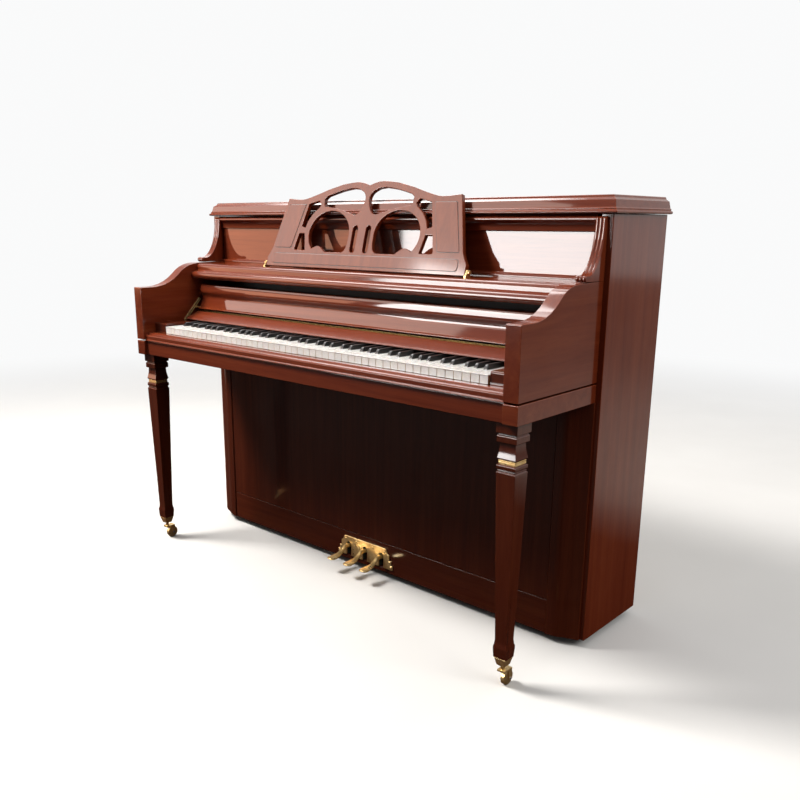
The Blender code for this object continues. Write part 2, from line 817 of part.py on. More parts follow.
def sharp_profile():
    front = KEY_FRONT + KEY_HEAD + KEY_CLEAR
    return [
        (front, KEY_UNDER),
        (front, KEY_TOP + 0.001),
        (front + 0.0015, KEY_TOP + 0.004),
        (front + 0.0065, SHARP_TOP - 0.0008),
        (front + 0.0085, SHARP_TOP),
        (0.182, SHARP_TOP - 0.0008),
        (0.186, KEY_TOP - 0.001),
        (SHARP_END, KEY_TOP - 0.001),
        (SHARP_END, KEY_UNDER),
    ]


def sharps(name, middles):
    """Sharps as one piece: each key's own stick, joined by a bar that passes under the naturals."""
    half = SHARP_WIDTH / 2
    sticks = [solid([sharp_profile()], "X", x - half, x + half) for x in middles]
    pivot = (0, BALANCE, KEY_UNDER)
    if len(middles) == 1:
        mesh = to_mesh(name, *sticks)
    else:
        deep, low, high = SHARP_BAR
        riser, top = 0.003, KEY_UNDER + 0.010
        comb = [(middles[0] - riser, low)]
        for x in middles:
            comb += [(x - riser, high), (x - riser, top), (x + riser, top), (x + riser, high)]
        comb += [(middles[-1] + riser, low)]
        mesh = united(name, solid([without_repeats(comb)], "Y", deep, SHARP_END - 0.001), *sticks)
    finish(name, mesh, ebony_plastic(), pivot=pivot)


def keys():
    last_single = FIRST_SINGLE + SINGLE_NATURALS - 1
    naturals("naturals_bass", 0, FIRST_SINGLE - 1)
    naturals("naturals_treble", last_single + 1, NATURALS - 1)
    for index in range(FIRST_SINGLE, last_single + 1):
        naturals(f"key_{note(index).lower()}4", index, index)
    singles = range(FIRST_SINGLE, last_single)
    bass = [sharp_x(i) for i in range(FIRST_SINGLE) if sharp_x(i) is not None]
    treble = [sharp_x(i) for i in range(last_single, NATURALS) if sharp_x(i) is not None]
    sharps("sharps_bass", bass)
    sharps("sharps_treble", treble)
    for index in singles:
        sharps(f"key_{note(index).lower()}_sharp4", [sharp_x(index)])


# ---- action and strung back ----


def comb(count, half, low, neck, high, tooth):
    """A rail with evenly spaced upright teeth, in X and height."""
    outline = [(-half, neck)]
    for i in range(count):
        middle = -half + (i + 0.5) * 2 * half / count
        edges = (middle - tooth / 2, middle + tooth / 2)
        outline += [(edges[0], neck), (edges[0], high), (edges[1], high), (edges[1], neck)]
    return outline + [(half, neck), (half, low), (-half, low)]


def action():
    bays = [
        box_loop(-0.57 + i * 0.29, -0.30 + i * 0.29, z, z + 0.105)
        for i in range(4)
        for z in (0.76, 0.885)
    ]
    frame = box_loop(-0.600, 0.600, 0.738, 1.008)
    extruded("action_frame", [frame] + bays, "Y", 0.372, 0.386, maple())
    hammers = comb(88, 0.600, 0.862, 0.882, 0.985, 0.0085)
    pivot = (0, 0.402, 0.865)
    extruded("hammer_rail", [hammers], "Y", 0.396, 0.408, maple(), pivot=pivot)
    dampers = comb(66, 0.600, 0.800, 0.815, 0.930, 0.0085)
    pivot = (0, 0.436, 0.803)
    extruded("damper_rail", [dampers], "Y", 0.432, 0.440, maple(), pivot=pivot)
    muffler = box_loop(0.4465, 0.4545, 0.957, 0.985)
    extruded("muffler_rail", [muffler], "X", -0.600, 0.600, maple(), pivot=(0, 0.450, 0.985))


def strung_back():
    half = SIDE_IN - GAP
    post, bays = 0.070, 4
    pitch = (2 * half - post) / bays
    gaps = [
        box_loop(-half + i * pitch + post, -half + (i + 1) * pitch, 0.115, 0.925) for i in range(bays)
    ]
    frame = box_loop(-half, half, CASE_UNDER, CASE_TOP)
    extruded("back_frame", [frame] + gaps, "Y", 0.535, SIDE_BACK, spruce())
    board = box_loop(-0.690, 0.690, 0.060, 0.925)
    extruded("soundboard", [board], "Y", 0.515, 0.523, spruce())
    block = box_loop(-0.690, 0.690, 0.928, 1.045)
    extruded("pin_block", [block], "Y", 0.4855, 0.5345, maple())
    bars = [
        [(-0.640, 0.140), (-0.330, 0.140), (-0.360, 0.900), (-0.640, 0.900)],
        [(-0.300, 0.140), (0.010, 0.140), (-0.020, 0.900), (-0.330, 0.900)],
        [(0.040, 0.140), (0.330, 0.140), (0.300, 0.900), (0.010, 0.900)],
        [(0.360, 0.180), (0.640, 0.420), (0.640, 0.900), (0.330, 0.900)],
    ]
    plate = box_loop(-0.685, 0.685, 0.085, 1.030)
    extruded("iron_plate", [plate] + bars, "Y", 0.470, 0.485, bronze_iron())


def build():
    clear_scene()
    root = bpy.data.objects.new("piano_front", None)
    root.location = (0, -DEPTH / 2, 0)
    bpy.context.scene.collection.objects.link(root)
    for make in (
        case_sides,
        arms,
        keybed,
        key_slip,
        key_blocks,
        key_frame,
        desk_shelf,
        upper_panel,
        scrolls,
        lower_case,
        top_lid,
        lid_hinge,
        music_desk,
        desk_pivots,
        nameboard,
        fallboard_hinge,
        fallboard,
        fallboard_arms,
        legs,
        casters,
        rear_glides,
        pedal_plate,
        pedals,
        keys,
        action,
        strung_back,
    ):
        make()


build()
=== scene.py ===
"""Upright piano: its looks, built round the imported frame. Metres, +Z up, keyboard towards -Y."""

import json
from math import cos, pi, radians, sin

import bmesh
import bpy
from mathutils import Matrix, Vector


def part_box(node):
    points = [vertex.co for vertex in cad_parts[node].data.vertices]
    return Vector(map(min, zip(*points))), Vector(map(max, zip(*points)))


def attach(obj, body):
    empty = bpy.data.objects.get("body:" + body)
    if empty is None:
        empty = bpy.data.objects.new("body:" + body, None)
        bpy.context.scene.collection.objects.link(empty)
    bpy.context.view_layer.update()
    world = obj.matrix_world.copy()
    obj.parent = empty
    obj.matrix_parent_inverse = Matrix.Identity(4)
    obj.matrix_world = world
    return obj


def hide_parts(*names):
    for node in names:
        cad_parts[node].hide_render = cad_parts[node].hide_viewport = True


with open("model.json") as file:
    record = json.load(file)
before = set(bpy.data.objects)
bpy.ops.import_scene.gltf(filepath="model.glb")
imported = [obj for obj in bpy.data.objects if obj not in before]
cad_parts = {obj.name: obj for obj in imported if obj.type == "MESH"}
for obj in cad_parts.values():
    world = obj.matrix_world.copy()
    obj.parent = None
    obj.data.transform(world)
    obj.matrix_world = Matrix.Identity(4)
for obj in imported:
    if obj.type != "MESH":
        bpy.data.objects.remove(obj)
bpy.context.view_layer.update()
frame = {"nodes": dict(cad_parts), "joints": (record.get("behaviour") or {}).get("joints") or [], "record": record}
BODIES = frame["record"]["behaviour"]["bodies"]
BODY = {node: body for body, nodes in BODIES.items() for node in nodes}
JOINT = {joint["name"]: joint for joint in frame["joints"]}
MOUNT = {mount["name"]: mount for mount in frame["record"]["mounts"]}
SIDES = ((1, "right"), (-1, "left"))


# ---- materials ----


class Shader:
    """A material being written. Nodes are added by type, with their settings and inputs by name."""

    def __init__(self, name, **surface):
        self.material = bpy.data.materials.new(name)
        self.material.use_nodes = True
        self.tree = self.material.node_tree
        self.surface = self.tree.nodes["Principled BSDF"]
        for key, value in surface.items():
            self.set(key.replace("_", " ").title().replace("Ior", "IOR"), value)

    def set(self, socket, value):
        self.feed(self.surface.inputs[socket], value)

    def feed(self, socket, value):
        if isinstance(value, bpy.types.NodeSocket):
            self.tree.links.new(value, socket)
        elif socket.type == "RGBA" and len(value) == 3:
            socket.default_value = (*value, 1.0)
        else:
            socket.default_value = value

    def node(self, kind, inputs, **settings):
        made = self.tree.nodes.new("ShaderNode" + kind)
        for key, value in settings.items():
            setattr(made, key, value)
        for key, value in inputs.items():
            self.feed(made.inputs[key], value)
        return made

    def coords(self, scale):
        place = self.node("TexCoord", {}).outputs["Object"]
        return self.node("Mapping", {"Vector": place, "Scale": scale}).outputs[0]

    def noise(self, scale, detail=4.0, rough=0.55, stretch=(1, 1, 1), twist=0.0):
        spot = self.coords([scale * s for s in stretch])
        inputs = {"Vector": spot, "Scale": 1.0, "Detail": detail, "Roughness": rough}
        return self.node("TexNoise", {**inputs, "Distortion": twist}).outputs["Fac"]

    def ramp(self, amount, stops):
        made = self.node("ValToRGB", {"Fac": amount})
        points = made.color_ramp.elements
        while len(points) < len(stops):
            points.new(0.5)
        for point, (place, colour) in zip(points, stops):
            point.position = place
            point.color = (*colour, 1.0) if len(colour) == 3 else colour
        return made.outputs["Color"]

    def spread(self, amount, low, high, start=0.3, end=0.7):
        inputs = {"Value": amount, "From Min": start, "From Max": end}
        return self.node("MapRange", {**inputs, "To Min": low, "To Max": high}).outputs["Result"]

    def mix(self, amount, first, second, blend="MIX"):
        made = self.node("Mix", {}, data_type="RGBA", blend_type=blend)
        self.feed(made.inputs["Factor"], amount)
        self.feed(made.inputs[6], first)
        self.feed(made.inputs[7], second)
        return made.outputs[2]

    def add(self, first, second, weight):
        """The first value plus a share of the second."""
        inputs = {0: second, 1: weight, 2: first}
        return self.node("Math", inputs, operation="MULTIPLY_ADD").outputs[0]

    def bump(self, height, depth, strength=1.0):
        inputs = {"Height": height, "Distance": depth, "Strength": strength}
        self.set("Normal", self.node("Bump", inputs).outputs["Normal"])


# how far noise is drawn out along the grain, for grain along each axis
GRAIN = {"X": (0.045, 1, 1), "Y": (1, 0.045, 1), "Z": (1, 1, 0.045)}
LACQUER = {"coat_ior": 1.55, "specular_ior_level": 0.03}
PORE_STAIN = (0.45, 0.38, 0.34)


def lacquered(name, grain, tones, roughness, coat, coat_roughness, pores=0.30):
    """Clear-coated wood: soft bands and fine pores along the grain, under a slightly uneven lacquer."""
    s = Shader(name, coat_weight=coat, coat_roughness=coat_roughness, **LACQUER)
    stretch = GRAIN[grain]
    bands = s.noise(38, 5, 0.6, stretch, 0.6)
    drift = s.noise(2.6, 2, 0.5)
    streaks = s.noise(420, 3, 0.7, stretch)
    colour = s.ramp(s.add(bands, drift, 0.35), tuple(zip((0.36, 0.68, 1.0), tones)))
    dark = s.ramp(streaks, ((0.30, PORE_STAIN), (0.50, (1, 1, 1))))
    s.set("Base Color", s.mix(pores, colour, s.mix(1.0, colour, dark, "MULTIPLY")))
    wipe = s.noise(9, 4, 0.6)
    s.set("Roughness", s.spread(wipe, roughness * 0.8, roughness * 1.25))
    peel = s.noise(260, 2, 0.5)
    s.bump(s.add(s.add(streaks, peel, 0.35), bands, 0.2), 0.00006, 0.5)
    return s.material


# the dark, middle and light bands of the stained veneer, and of its edges, whose lighter tones are partly wear and
# partly a painted highlight
MAHOGANY = ((0.095, 0.0125, 0.0036), (0.145, 0.0235, 0.0072), (0.200, 0.0400, 0.0130))
MAHOGANY_EDGE_WEAR_AND_HIGHLIGHT = ((0.130, 0.0200, 0.0060), (0.190, 0.0340, 0.0105), (0.260, 0.0580, 0.0200))
PAINTED_SHADE_SHARE = 0.50  # the share of that colour left where shade is painted in, on pieces that stand in shade low on the case
COAT_ROUGHNESS = {"satin": 0.10, "gloss": 0.050, "deep": 0.10, "rubbed": 0.40}
EDGE_WEAR = 1.4  # how much rougher the lacquer is along an edge


def mahogany(grain, gloss="satin", edge=False):
    """Mahogany veneer: satin, gloss or rubbed, or darkened with painted shade, and lighter along its edges from
    wear and a painted highlight.
    """
    name = f"mahogany_{gloss}_{grain.lower()}" + ("_edge" if edge else "")
    found = bpy.data.materials.get(name)
    if found:
        return found
    # edges take lighter tones: partly wear, partly a painted highlight
    tones = MAHOGANY_EDGE_WEAR_AND_HIGHLIGHT if edge else MAHOGANY
    # painted shade: the colour is darkened for pieces that stand in shade under the keybed
    if gloss == "deep":
        tones = [[part * PAINTED_SHADE_SHARE for part in tone] for tone in tones]
    wear = EDGE_WEAR if edge else 1.0
    return lacquered(name, grain, tones, 0.5, 0.9, COAT_ROUGHNESS[gloss] * wear)


def pale_wood(name, grain, tones, roughness):
    """Unstained wood under a thin varnish."""
    found = bpy.data.materials.get(name)
    return found or lacquered(name, grain, tones, roughness, 0.15, 0.35, 0.5)


def spruce(grain):
    tones = ((0.40, 0.235, 0.095), (0.56, 0.365, 0.165), (0.68, 0.48, 0.25))
    return pale_wood("spruce_" + grain.lower(), grain, tones, 0.5)


def maple():
    tones = ((0.44, 0.27, 0.125), (0.57, 0.385, 0.20), (0.66, 0.47, 0.27))
    return pale_wood("maple_x", "X", tones, 0.45)


def once(make):
    """The material that make() returns, made the first time it is asked for."""
    kept = []

    def get():
        if not kept:
            kept.append(make())
        return kept[0]

    return get


@once
def brass():
    s = Shader("polished_brass", metallic=0.82, coat_weight=0.2, coat_roughness=0.10)
    tarnish = s.noise(42, 4, 0.55)
    s.set("Base Color", s.ramp(tarnish, ((0.30, (0.66, 0.42, 0.15)), (0.62, (0.90, 0.68, 0.32)))))
    brushed = s.noise(500, 2, 0.5, (0.12, 1, 1))
    s.set("Roughness", s.spread(s.add(tarnish, brushed, 0.3), 0.40, 0.22, 0.4, 0.95))
    s.bump(brushed, 0.00001, 0.3)
    return s.material


@once
def ivory():
    s = Shader("ivory_keytop", coat_weight=0.5, coat_roughness=0.06, subsurface_weight=0.08)
    s.set("Subsurface Radius", (0.004, 0.003, 0.002))
    cloud = s.noise(30, 4, 0.6)
    s.set("Base Color", s.ramp(cloud, ((0.3, (0.84, 0.845, 0.82)), (0.7, (0.91, 0.915, 0.90)))))
    smear = s.noise(140, 4, 0.65, (1, 0.25, 1))
    s.set("Roughness", s.spread(smear, 0.16, 0.34))
    s.bump(s.noise(700, 2, 0.5, (1, 0.2, 1)), 0.00002, 0.4)
    return s.material


@once
def ebony():
    s = Shader("ebony_sharp", coat_weight=0.25, coat_roughness=0.22)
    grain = s.noise(500, 4, 0.6, (1, 0.06, 1))
    s.set("Base Color", s.ramp(grain, ((0.3, (0.006, 0.006, 0.007)), (0.8, (0.022, 0.020, 0.020)))))
    s.set("Roughness", s.spread(s.noise(120, 3, 0.6), 0.26, 0.46))
    s.bump(grain, 0.00003, 0.5)
    return s.material


def felt(name, low, high):
    """Felt: matted fibres with a soft sheen."""
    s = Shader(name, sheen_weight=0.6, sheen_roughness=0.5, roughness=0.95)
    mat = s.noise(900, 5, 0.75)
    s.set("Base Color", s.ramp(mat, ((0.25, low), (0.75, high))))
    s.bump(mat, 0.0004, 0.8)
    return s.material


@once
def green_felt():
    return felt("green_felt", (0.006, 0.028, 0.012), (0.016, 0.065, 0.028))


@once
def recess_shade_board():
    """Hardboard, nearly black with the recess's shade painted into it, as behind a piano's fallboard."""
    s = Shader("recess_shade_board")
    # painted shade: the near-black tones stand in for the shade of the recess
    fibre = s.noise(420, 5, 0.7, (0.3, 1, 1))
    s.set("Base Color", s.ramp(fibre, ((0.3, (0.010, 0.0045, 0.003)), (0.7, (0.030, 0.012, 0.007)))))
    s.set("Roughness", s.spread(fibre, 0.6, 0.85))
    s.bump(fibre, 0.0001, 0.5)
    return s.material


@once
def groove_painted_shade():
    """The shade of a routed groove, painted as a dark colour."""
    s = Shader("groove_painted_shade", coat_weight=0.4, coat_roughness=0.3)
    # painted shade: near-black tones for the shade inside a routed groove
    shade_mottle = s.noise(320, 4, 0.6)
    s.set("Base Color", s.ramp(shade_mottle, ((0.3, (0.012, 0.003, 0.0015)), (0.7, (0.035, 0.009, 0.004)))))
    s.set("Roughness", s.spread(shade_mottle, 0.45, 0.7))
    s.bump(shade_mottle, 0.0001, 0.5)
    return s.material


@once
def white_felt():
    return felt("white_felt", (0.55, 0.52, 0.45), (0.78, 0.75, 0.68))


@once
def aged_brass():
    """Thin, tarnished brass in a joint."""
    s = Shader("aged_brass", metallic=1.0)
    tarnish = s.noise(160, 5, 0.65)
    s.set("Base Color", s.ramp(tarnish, ((0.35, (0.030, 0.019, 0.007)), (0.70, (0.15, 0.10, 0.035)))))
    s.set("Roughness", s.spread(tarnish, 0.55, 0.30))
    s.bump(tarnish, 0.0001, 0.5)
    return s.material


@once
def bronze_iron():
    s = Shader("bronze_lacquered_iron", metallic=0.75, coat_weight=0.4, coat_roughness=0.2)
    cast = s.noise(240, 6, 0.7)
    s.set("Base Color", s.ramp(cast, ((0.3, (0.30, 0.17, 0.05)), (0.7, (0.55, 0.35, 0.13)))))
    s.set("Roughness", s.spread(cast, 0.32, 0.5))
    s.bump(cast, 0.0003, 0.5)
    return s.material


@once
def steel():
    s = Shader("string_steel", metallic=1.0)
    wound = s.noise(600, 3, 0.6)
    s.set("Base Color", s.ramp(wound, ((0.3, (0.42, 0.42, 0.43)), (0.7, (0.66, 0.66, 0.67)))))
    s.set("Roughness", s.spread(wound, 0.22, 0.4))
    s.bump(wound, 0.00003, 0.4)
    return s.material


@once
def copper():
    s = Shader("copper_winding", metallic=1.0)
    coil = s.node("TexWave", {"Vector": s.coords((1, 1, 1)), "Scale": 260.0}, bands_direction="Z")
    wind = coil.outputs["Fac"]
    s.set("Base Color", s.ramp(wind, ((0.1, (0.35, 0.13, 0.06)), (0.9, (0.72, 0.33, 0.17)))))
    s.set("Roughness", s.spread(wind, 0.42, 0.26))
    s.bump(wind, 0.0002, 0.6)
    return s.material


@once
def rubber():
    s = Shader("black_rubber")
    scuff = s.noise(180, 5, 0.65)
    s.set("Base Color", s.ramp(scuff, ((0.3, (0.014, 0.014, 0.014)), (0.75, (0.045, 0.043, 0.040)))))
    s.set("Roughness", s.spread(scuff, 0.5, 0.8))
    s.bump(scuff, 0.0002, 0.5)
    return s.material


BACKDROP = (0.955, 0.958, 0.96)
# what the floor sends back up under and before the piano, as a rug would, and behind the piano
RUG_BOUNCE = (0.045, 0.022, 0.017)
BARE_BOUNCE = (0.48, 0.44, 0.40)
RUG_ENDS = (0.75, 1.15)
FLOOR_FADES = (1.8, 5.0)


@once
def pale_floor():
    """A pale floor that runs out into the backdrop's own tone a few metres from the piano."""
    s = Shader("pale_floor", specular_ior_level=0.25)
    cloud = s.noise(1.4, 3, 0.5)
    s.set("Base Color", s.ramp(cloud, ((0.3, (0.74, 0.735, 0.725)), (0.7, (0.79, 0.785, 0.775)))))
    s.set("Roughness", s.spread(s.noise(7, 4, 0.6), 0.55, 0.75))
    place = s.node("TexCoord", {}).outputs["Object"]
    far = s.node("VectorMath", {0: place}, operation="LENGTH").outputs["Value"]
    fade_range = {"Value": far, "From Min": FLOOR_FADES[0], "From Max": FLOOR_FADES[1]}
    fade = s.node("MapRange", fade_range, interpolation_type="SMOOTHSTEP")
    seen = s.node("LightPath", {}).outputs["Is Camera Ray"]
    share = s.node("Math", {0: fade.outputs[0], 1: seen}, operation="MULTIPLY").outputs[0]
    glow = s.node("Emission", {"Color": (*BACKDROP, 1.0), "Strength": 1.0}).outputs[0]
    depth = s.node("SeparateXYZ", {0: place}).outputs["Y"]
    rug_range = {"Value": depth, "From Min": RUG_ENDS[0], "From Max": RUG_ENDS[1]}
    beyond = s.node("MapRange", rug_range).outputs[0]
    bounce = s.mix(beyond, (*RUG_BOUNCE, 1.0), (*BARE_BOUNCE, 1.0))
    matt = s.node("BsdfDiffuse", {"Color": bounce}).outputs[0]
    lit = s.node("MixShader", {0: seen, 1: matt, 2: s.surface.outputs[0]}).outputs[0]
    blend = s.node("MixShader", {0: share, 1: lit, 2: glow}).outputs[0]
    s.tree.links.new(blend, s.tree.nodes["Material Output"].inputs["Surface"])
    return s.material


# ---- mesh helpers ----


def shown(name, work, looks):
    """A bmesh made into a named object of the scene."""
    mesh = bpy.data.meshes.new(name)
    work.to_mesh(mesh)
    work.free()
    for look in looks:
        mesh.materials.append(look)
    made = bpy.data.objects.new(name, mesh)
    bpy.context.scene.collection.objects.link(made)
    return made


def piece(name, work, looks, body, stands_for=(), smooth=35):
    """A bmesh made into a named object that rides on a body, soft-shaded up to the smooth angle."""
    made = shown(name, work, looks)
    if smooth:
        made.data.shade_smooth()
        made.data.set_sharp_from_angle(angle=radians(smooth))
    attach(made, body)
    if stands_for:
        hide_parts(*stands_for)
    return made


def soften(made, width, segments=2, angle=32, edge_look=None):
    """Rounds a piece's sharp edges, which may take a look of their own, and keeps its flats flat."""
    bevel = made.modifiers.new("rounded edges", "BEVEL")
    bevel.width = width
    bevel.segments = segments
    bevel.limit_method = "ANGLE"
    bevel.angle_limit = radians(angle)
    bevel.use_clamp_overlap = True
    if edge_look:
        made.data.materials.append(edge_look)
        bevel.material = len(made.data.materials) - 1
    weigh = made.modifiers.new("flat faces", "WEIGHTED_NORMAL")
    weigh.keep_sharp = False
    return made


WELD = 2e-5
FLAT = radians(0.4)


def cad_copy(node):
    """A bmesh of a CAD node with its flat faces whole again."""
    work = bmesh.new()
    work.from_mesh(frame["nodes"][node].data)
    bmesh.ops.remove_doubles(work, verts=work.verts, dist=WELD)
    bmesh.ops.dissolve_limit(work, angle_limit=FLAT, verts=work.verts, edges=work.edges)
    return work


def refined(node, look, width=0.0008, segments=2, edge_look=None, smooth=32):
    """A CAD node's own shape with rounded edges and a full finish, in the node's place."""
    work = cad_copy(node)
    made = piece(node + "_finish", work, [look], BODY[node], (node,), smooth)
    return soften(made, width, segments, smooth, edge_look)


def prism(work, outline, axis, low, high, index=0):
    """Adds a closed outline extruded along an axis."""
    along = "XYZ".index(axis)
    first, second = ((1, 2), (0, 2), (0, 1))[along]

    def ring(level):
        made = []
        for a, b in outline:
            place = [0.0, 0.0, 0.0]
            place[first], place[second], place[along] = a, b, level
            made.append(work.verts.new(place))
        return made

    bottom, top = ring(low), ring(high)
    faces = [work.faces.new(bottom), work.faces.new(top)]
    for i in range(len(outline)):
        j = (i + 1) % len(outline)
        faces.append(work.faces.new((bottom[i], bottom[j], top[j], top[i])))
    for face in faces:
        face.material_index = index
    bmesh.ops.recalc_face_normals(work, faces=faces)


def block(work, low, high, index=0):
    """Adds a box between two corners."""
    outline = [(low[0], low[1]), (high[0], low[1]), (high[0], high[1]), (low[0], high[1])]
    prism(work, outline, "Z", low[2], high[2], index)


def rings(work, rows, index=0):
    """Adds a closed skin over rings of equally many points."""
    made = [[work.verts.new(p) for p in row] for row in rows]
    faces = []
    for below, above in zip(made, made[1:]):
        for i in range(len(below)):
            j = (i + 1) % len(below)
            faces.append(work.faces.new((below[i], below[j], above[j], above[i])))
    faces.append(work.faces.new(list(reversed(made[0]))))
    faces.append(work.faces.new(made[-1]))
    for face in faces:
        face.material_index = index
    bmesh.ops.recalc_face_normals(work, faces=faces)


def lathe(work, start, direction, profile, sides=20, index=0):
    """Adds a turned shape: (distance, radius) pairs along a direction."""
    turn = Vector(direction).normalized().to_track_quat("Z", "Y").to_matrix()
    turns = [2 * pi * i / sides for i in range(sides)]
    rows = []
    for far, radius in profile:
        ring = [Vector((radius * cos(a), radius * sin(a), far)) for a in turns]
        rows.append([Vector(start) + turn @ spot for spot in ring])
    rings(work, rows, index)


# (distance, radius) pairs, as shares of a screw head's radius
SCREW_DOME = ((0, 1), (0.18, 1), (0.34, 0.86), (0.42, 0.55))


def screw(work, spot, direction, radius):
    """Adds a domed screw head."""
    lathe(work, spot, direction, [(far * radius, wide * radius) for far, wide in SCREW_DOME], 14)


# ---- case ----


def case():
    satin = {axis: mahogany(axis) for axis in "XYZ"}
    edges = {axis: mahogany(axis, "satin", True) for axis in "XYZ"}
    gloss, gloss_edge = mahogany("X", "gloss"), mahogany("X", "gloss", True)
    # Painted shade: the pilasters, key blocks, knee panel and toe rail take the darkened mahogany for the shade
    # they stand in.
    for side in ("left", "right"):
        refined(f"case_side_{side}", satin["Z"], 0.0016, 3, edges["Z"])
        refined(f"arm_{side}", satin["Y"], 0.0014, 3, edges["Y"])
        refined(f"pilaster_{side}", mahogany("Z", "deep"), 0.0010, 2, mahogany("Z", "deep", True))
        refined(f"key_block_{side}", mahogany("X", "deep"), 0.0010, 2, mahogany("X", "deep", True))
    refined("keybed", satin["X"], 0.0014, 3, edges["X"])
    refined("key_slip", satin["X"], 0.0005, 2, edges["X"])
    refined("desk_shelf", satin["X"], 0.0006, 2, edges["X"])
    refined("upper_panel", gloss, 0.0005, 2, gloss_edge)
    refined("knee_panel", mahogany("Z", "deep"), 0.0008, 2, mahogany("Z", "deep", True))
    refined("toe_rail", mahogany("X", "deep"), 0.0008, 2, mahogany("X", "deep", True))
    refined("bottom_board", satin["X"], 0.0008)
    refined("nameboard", mahogany("X", "rubbed"), 0.0006, 2, mahogany("X", "rubbed", True))
    refined("fallboard", gloss, 0.0006, 2, gloss_edge)
    refined("top_lid", gloss, 0.0007, 2, gloss_edge)


SCROLL_REEDS = 3
SCROLL_COLUMNS = 36
REED_DEPTH = 0.0013
FOOT_RADII = (0.008, 0.0075)  # along Y and Z
RISE_START = (0.0150, 0.0143)
RISE_RADII = (0.061, 0.127)


def scroll_line(low):
    """The front line of a scroll: round its foot, then up a hollow curve to the lid."""
    line = []
    for t in map(radians, range(265, 70, -13)):
        y = low.y + FOOT_RADII[0] + FOOT_RADII[0] * cos(t)
        line.append(Vector((y, low.z + FOOT_RADII[1] + FOOT_RADII[1] * sin(t))))
    for t in map(radians, range(3, 91, 5)):
        y = low.y + RISE_START[0] + RISE_RADII[0] * sin(t)
        line.append(Vector((y, low.z + RISE_START[1] + RISE_RADII[1] * (1 - cos(t)))))
    return line


def scrolls():
    """The reeded brackets that stand on the arms, on the line of their CAD outlines."""
    for node in ("scroll_right", "scroll_left"):
        low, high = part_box(node)
        line = scroll_line(low)
        work = bmesh.new()
        grid = []
        for i, spot in enumerate(line):
            ahead = line[min(i + 1, len(line) - 1)] - line[max(i - 1, 0)]
            normal = Vector((ahead.y, -ahead.x)).normalized()
            row = []
            for k in range(SCROLL_COLUMNS + 1):
                across = k / SCROLL_COLUMNS
                depth = REED_DEPTH * (1 - abs(sin(pi * SCROLL_REEDS * across)) ** 0.7)
                place = spot + normal * depth
                row.append(work.verts.new((low.x + (high.x - low.x) * across, place.x, place.y)))
            grid.append(row)
        for below, above in zip(grid, grid[1:]):
            for k in range(SCROLL_COLUMNS):
                work.faces.new((below[k], below[k + 1], above[k + 1], above[k]))
        ends = []
        for x in (low.x, high.x):
            ends.append([work.verts.new((x, high.y, z)) for z in (low.z, high.z)])
        (foot_low, top_low), (foot_high, top_high) = ends
        for (foot, top), k in zip(ends, (0, SCROLL_COLUMNS)):
            work.faces.new([row[k] for row in grid] + [top, foot])
        work.faces.new(grid[-1] + [top_high, top_low])
        work.faces.new(grid[0] + [foot_high, foot_low])
        work.faces.new((foot_low, foot_high, top_high, top_low))
        bmesh.ops.recalc_face_normals(work, faces=work.faces[:])
        piece(node + "_reeded", work, [mahogany("Z")], "case", (node,), 50)


# ---- music desk ----

LEAN = Vector(MOUNT["music_desk_face"]["axis"])
DESK_UP = Vector((0, LEAN.z, -LEAN.y))
DESK_SPOT = Vector(MOUNT["music_desk_face"]["pos_m"])
DESK_SPOT_UP = 0.045  # how far up the board that spot is
GROOVE = 0.0013
SIDE_FIELD = ((0.2770, 0.0580), (0.3490, 0.0580), (0.3145, 0.1880), (0.2415, 0.1880))
FOOT_FIELD = ((-0.352, 0.011), (0.352, 0.011), (0.352, 0.043), (-0.352, 0.043))


def on_desk(x, up, out=0.0):
    """A point on the music desk: across, up the board from its foot, and out from its face."""
    return DESK_SPOT + Vector((x, 0, 0)) + DESK_UP * (up - DESK_SPOT_UP) + LEAN * out


def inset_outline(outline, width):
    """The same outline, moved in towards its middle by a width on each axis."""
    middle = Vector((sum(p[0] for p in outline), sum(p[1] for p in outline))) / len(outline)
    made = []
    for p in outline:
        inward = middle - Vector(p)
        made.append(Vector(p) + Vector([min(width, abs(c)) * (1 if c > 0 else -1) for c in inward]))
    return made


def framed_field(work, outline):
    """Adds a flat field on the music desk's face, with a flat dark ring of painted groove shade round it."""
    inner = inset_outline(outline, GROOVE)
    top = inset_outline(outline, GROOVE + 0.0006)
    rings(work, [[on_desk(*p, out) for p in outline] for out in (-0.0004, 0.0002)], 1)
    rows = [[on_desk(*p, out) for p in inner] for out in (0.0, 0.0006)]
    rings(work, rows + [[on_desk(*p, 0.0010) for p in top]], 0)


def rounded(corners, radius, steps=4):
    """A convex outline with its corners rounded."""
    made = []
    for i, corner in enumerate(corners):
        spot = Vector(corner)
        to_last = (Vector(corners[i - 1]) - spot).normalized()
        to_next = (Vector(corners[(i + 1) % len(corners)]) - spot).normalized()
        start, end = spot + to_last * radius, spot + to_next * radius
        for k in range(steps + 1):
            t = k / steps
            made.append(start * (1 - t) ** 2 + spot * 2 * t * (1 - t) + end * t**2)
    return made


PIN_SUNK = 0.0078
DESK_PIN = (
    (0, 0.0024),
    (0.0080, 0.0024),
    (0.0084, 0.0046),
    (0.0095, 0.0056),
    (0.0112, 0.0056),
    (0.0122, 0.0040),
)


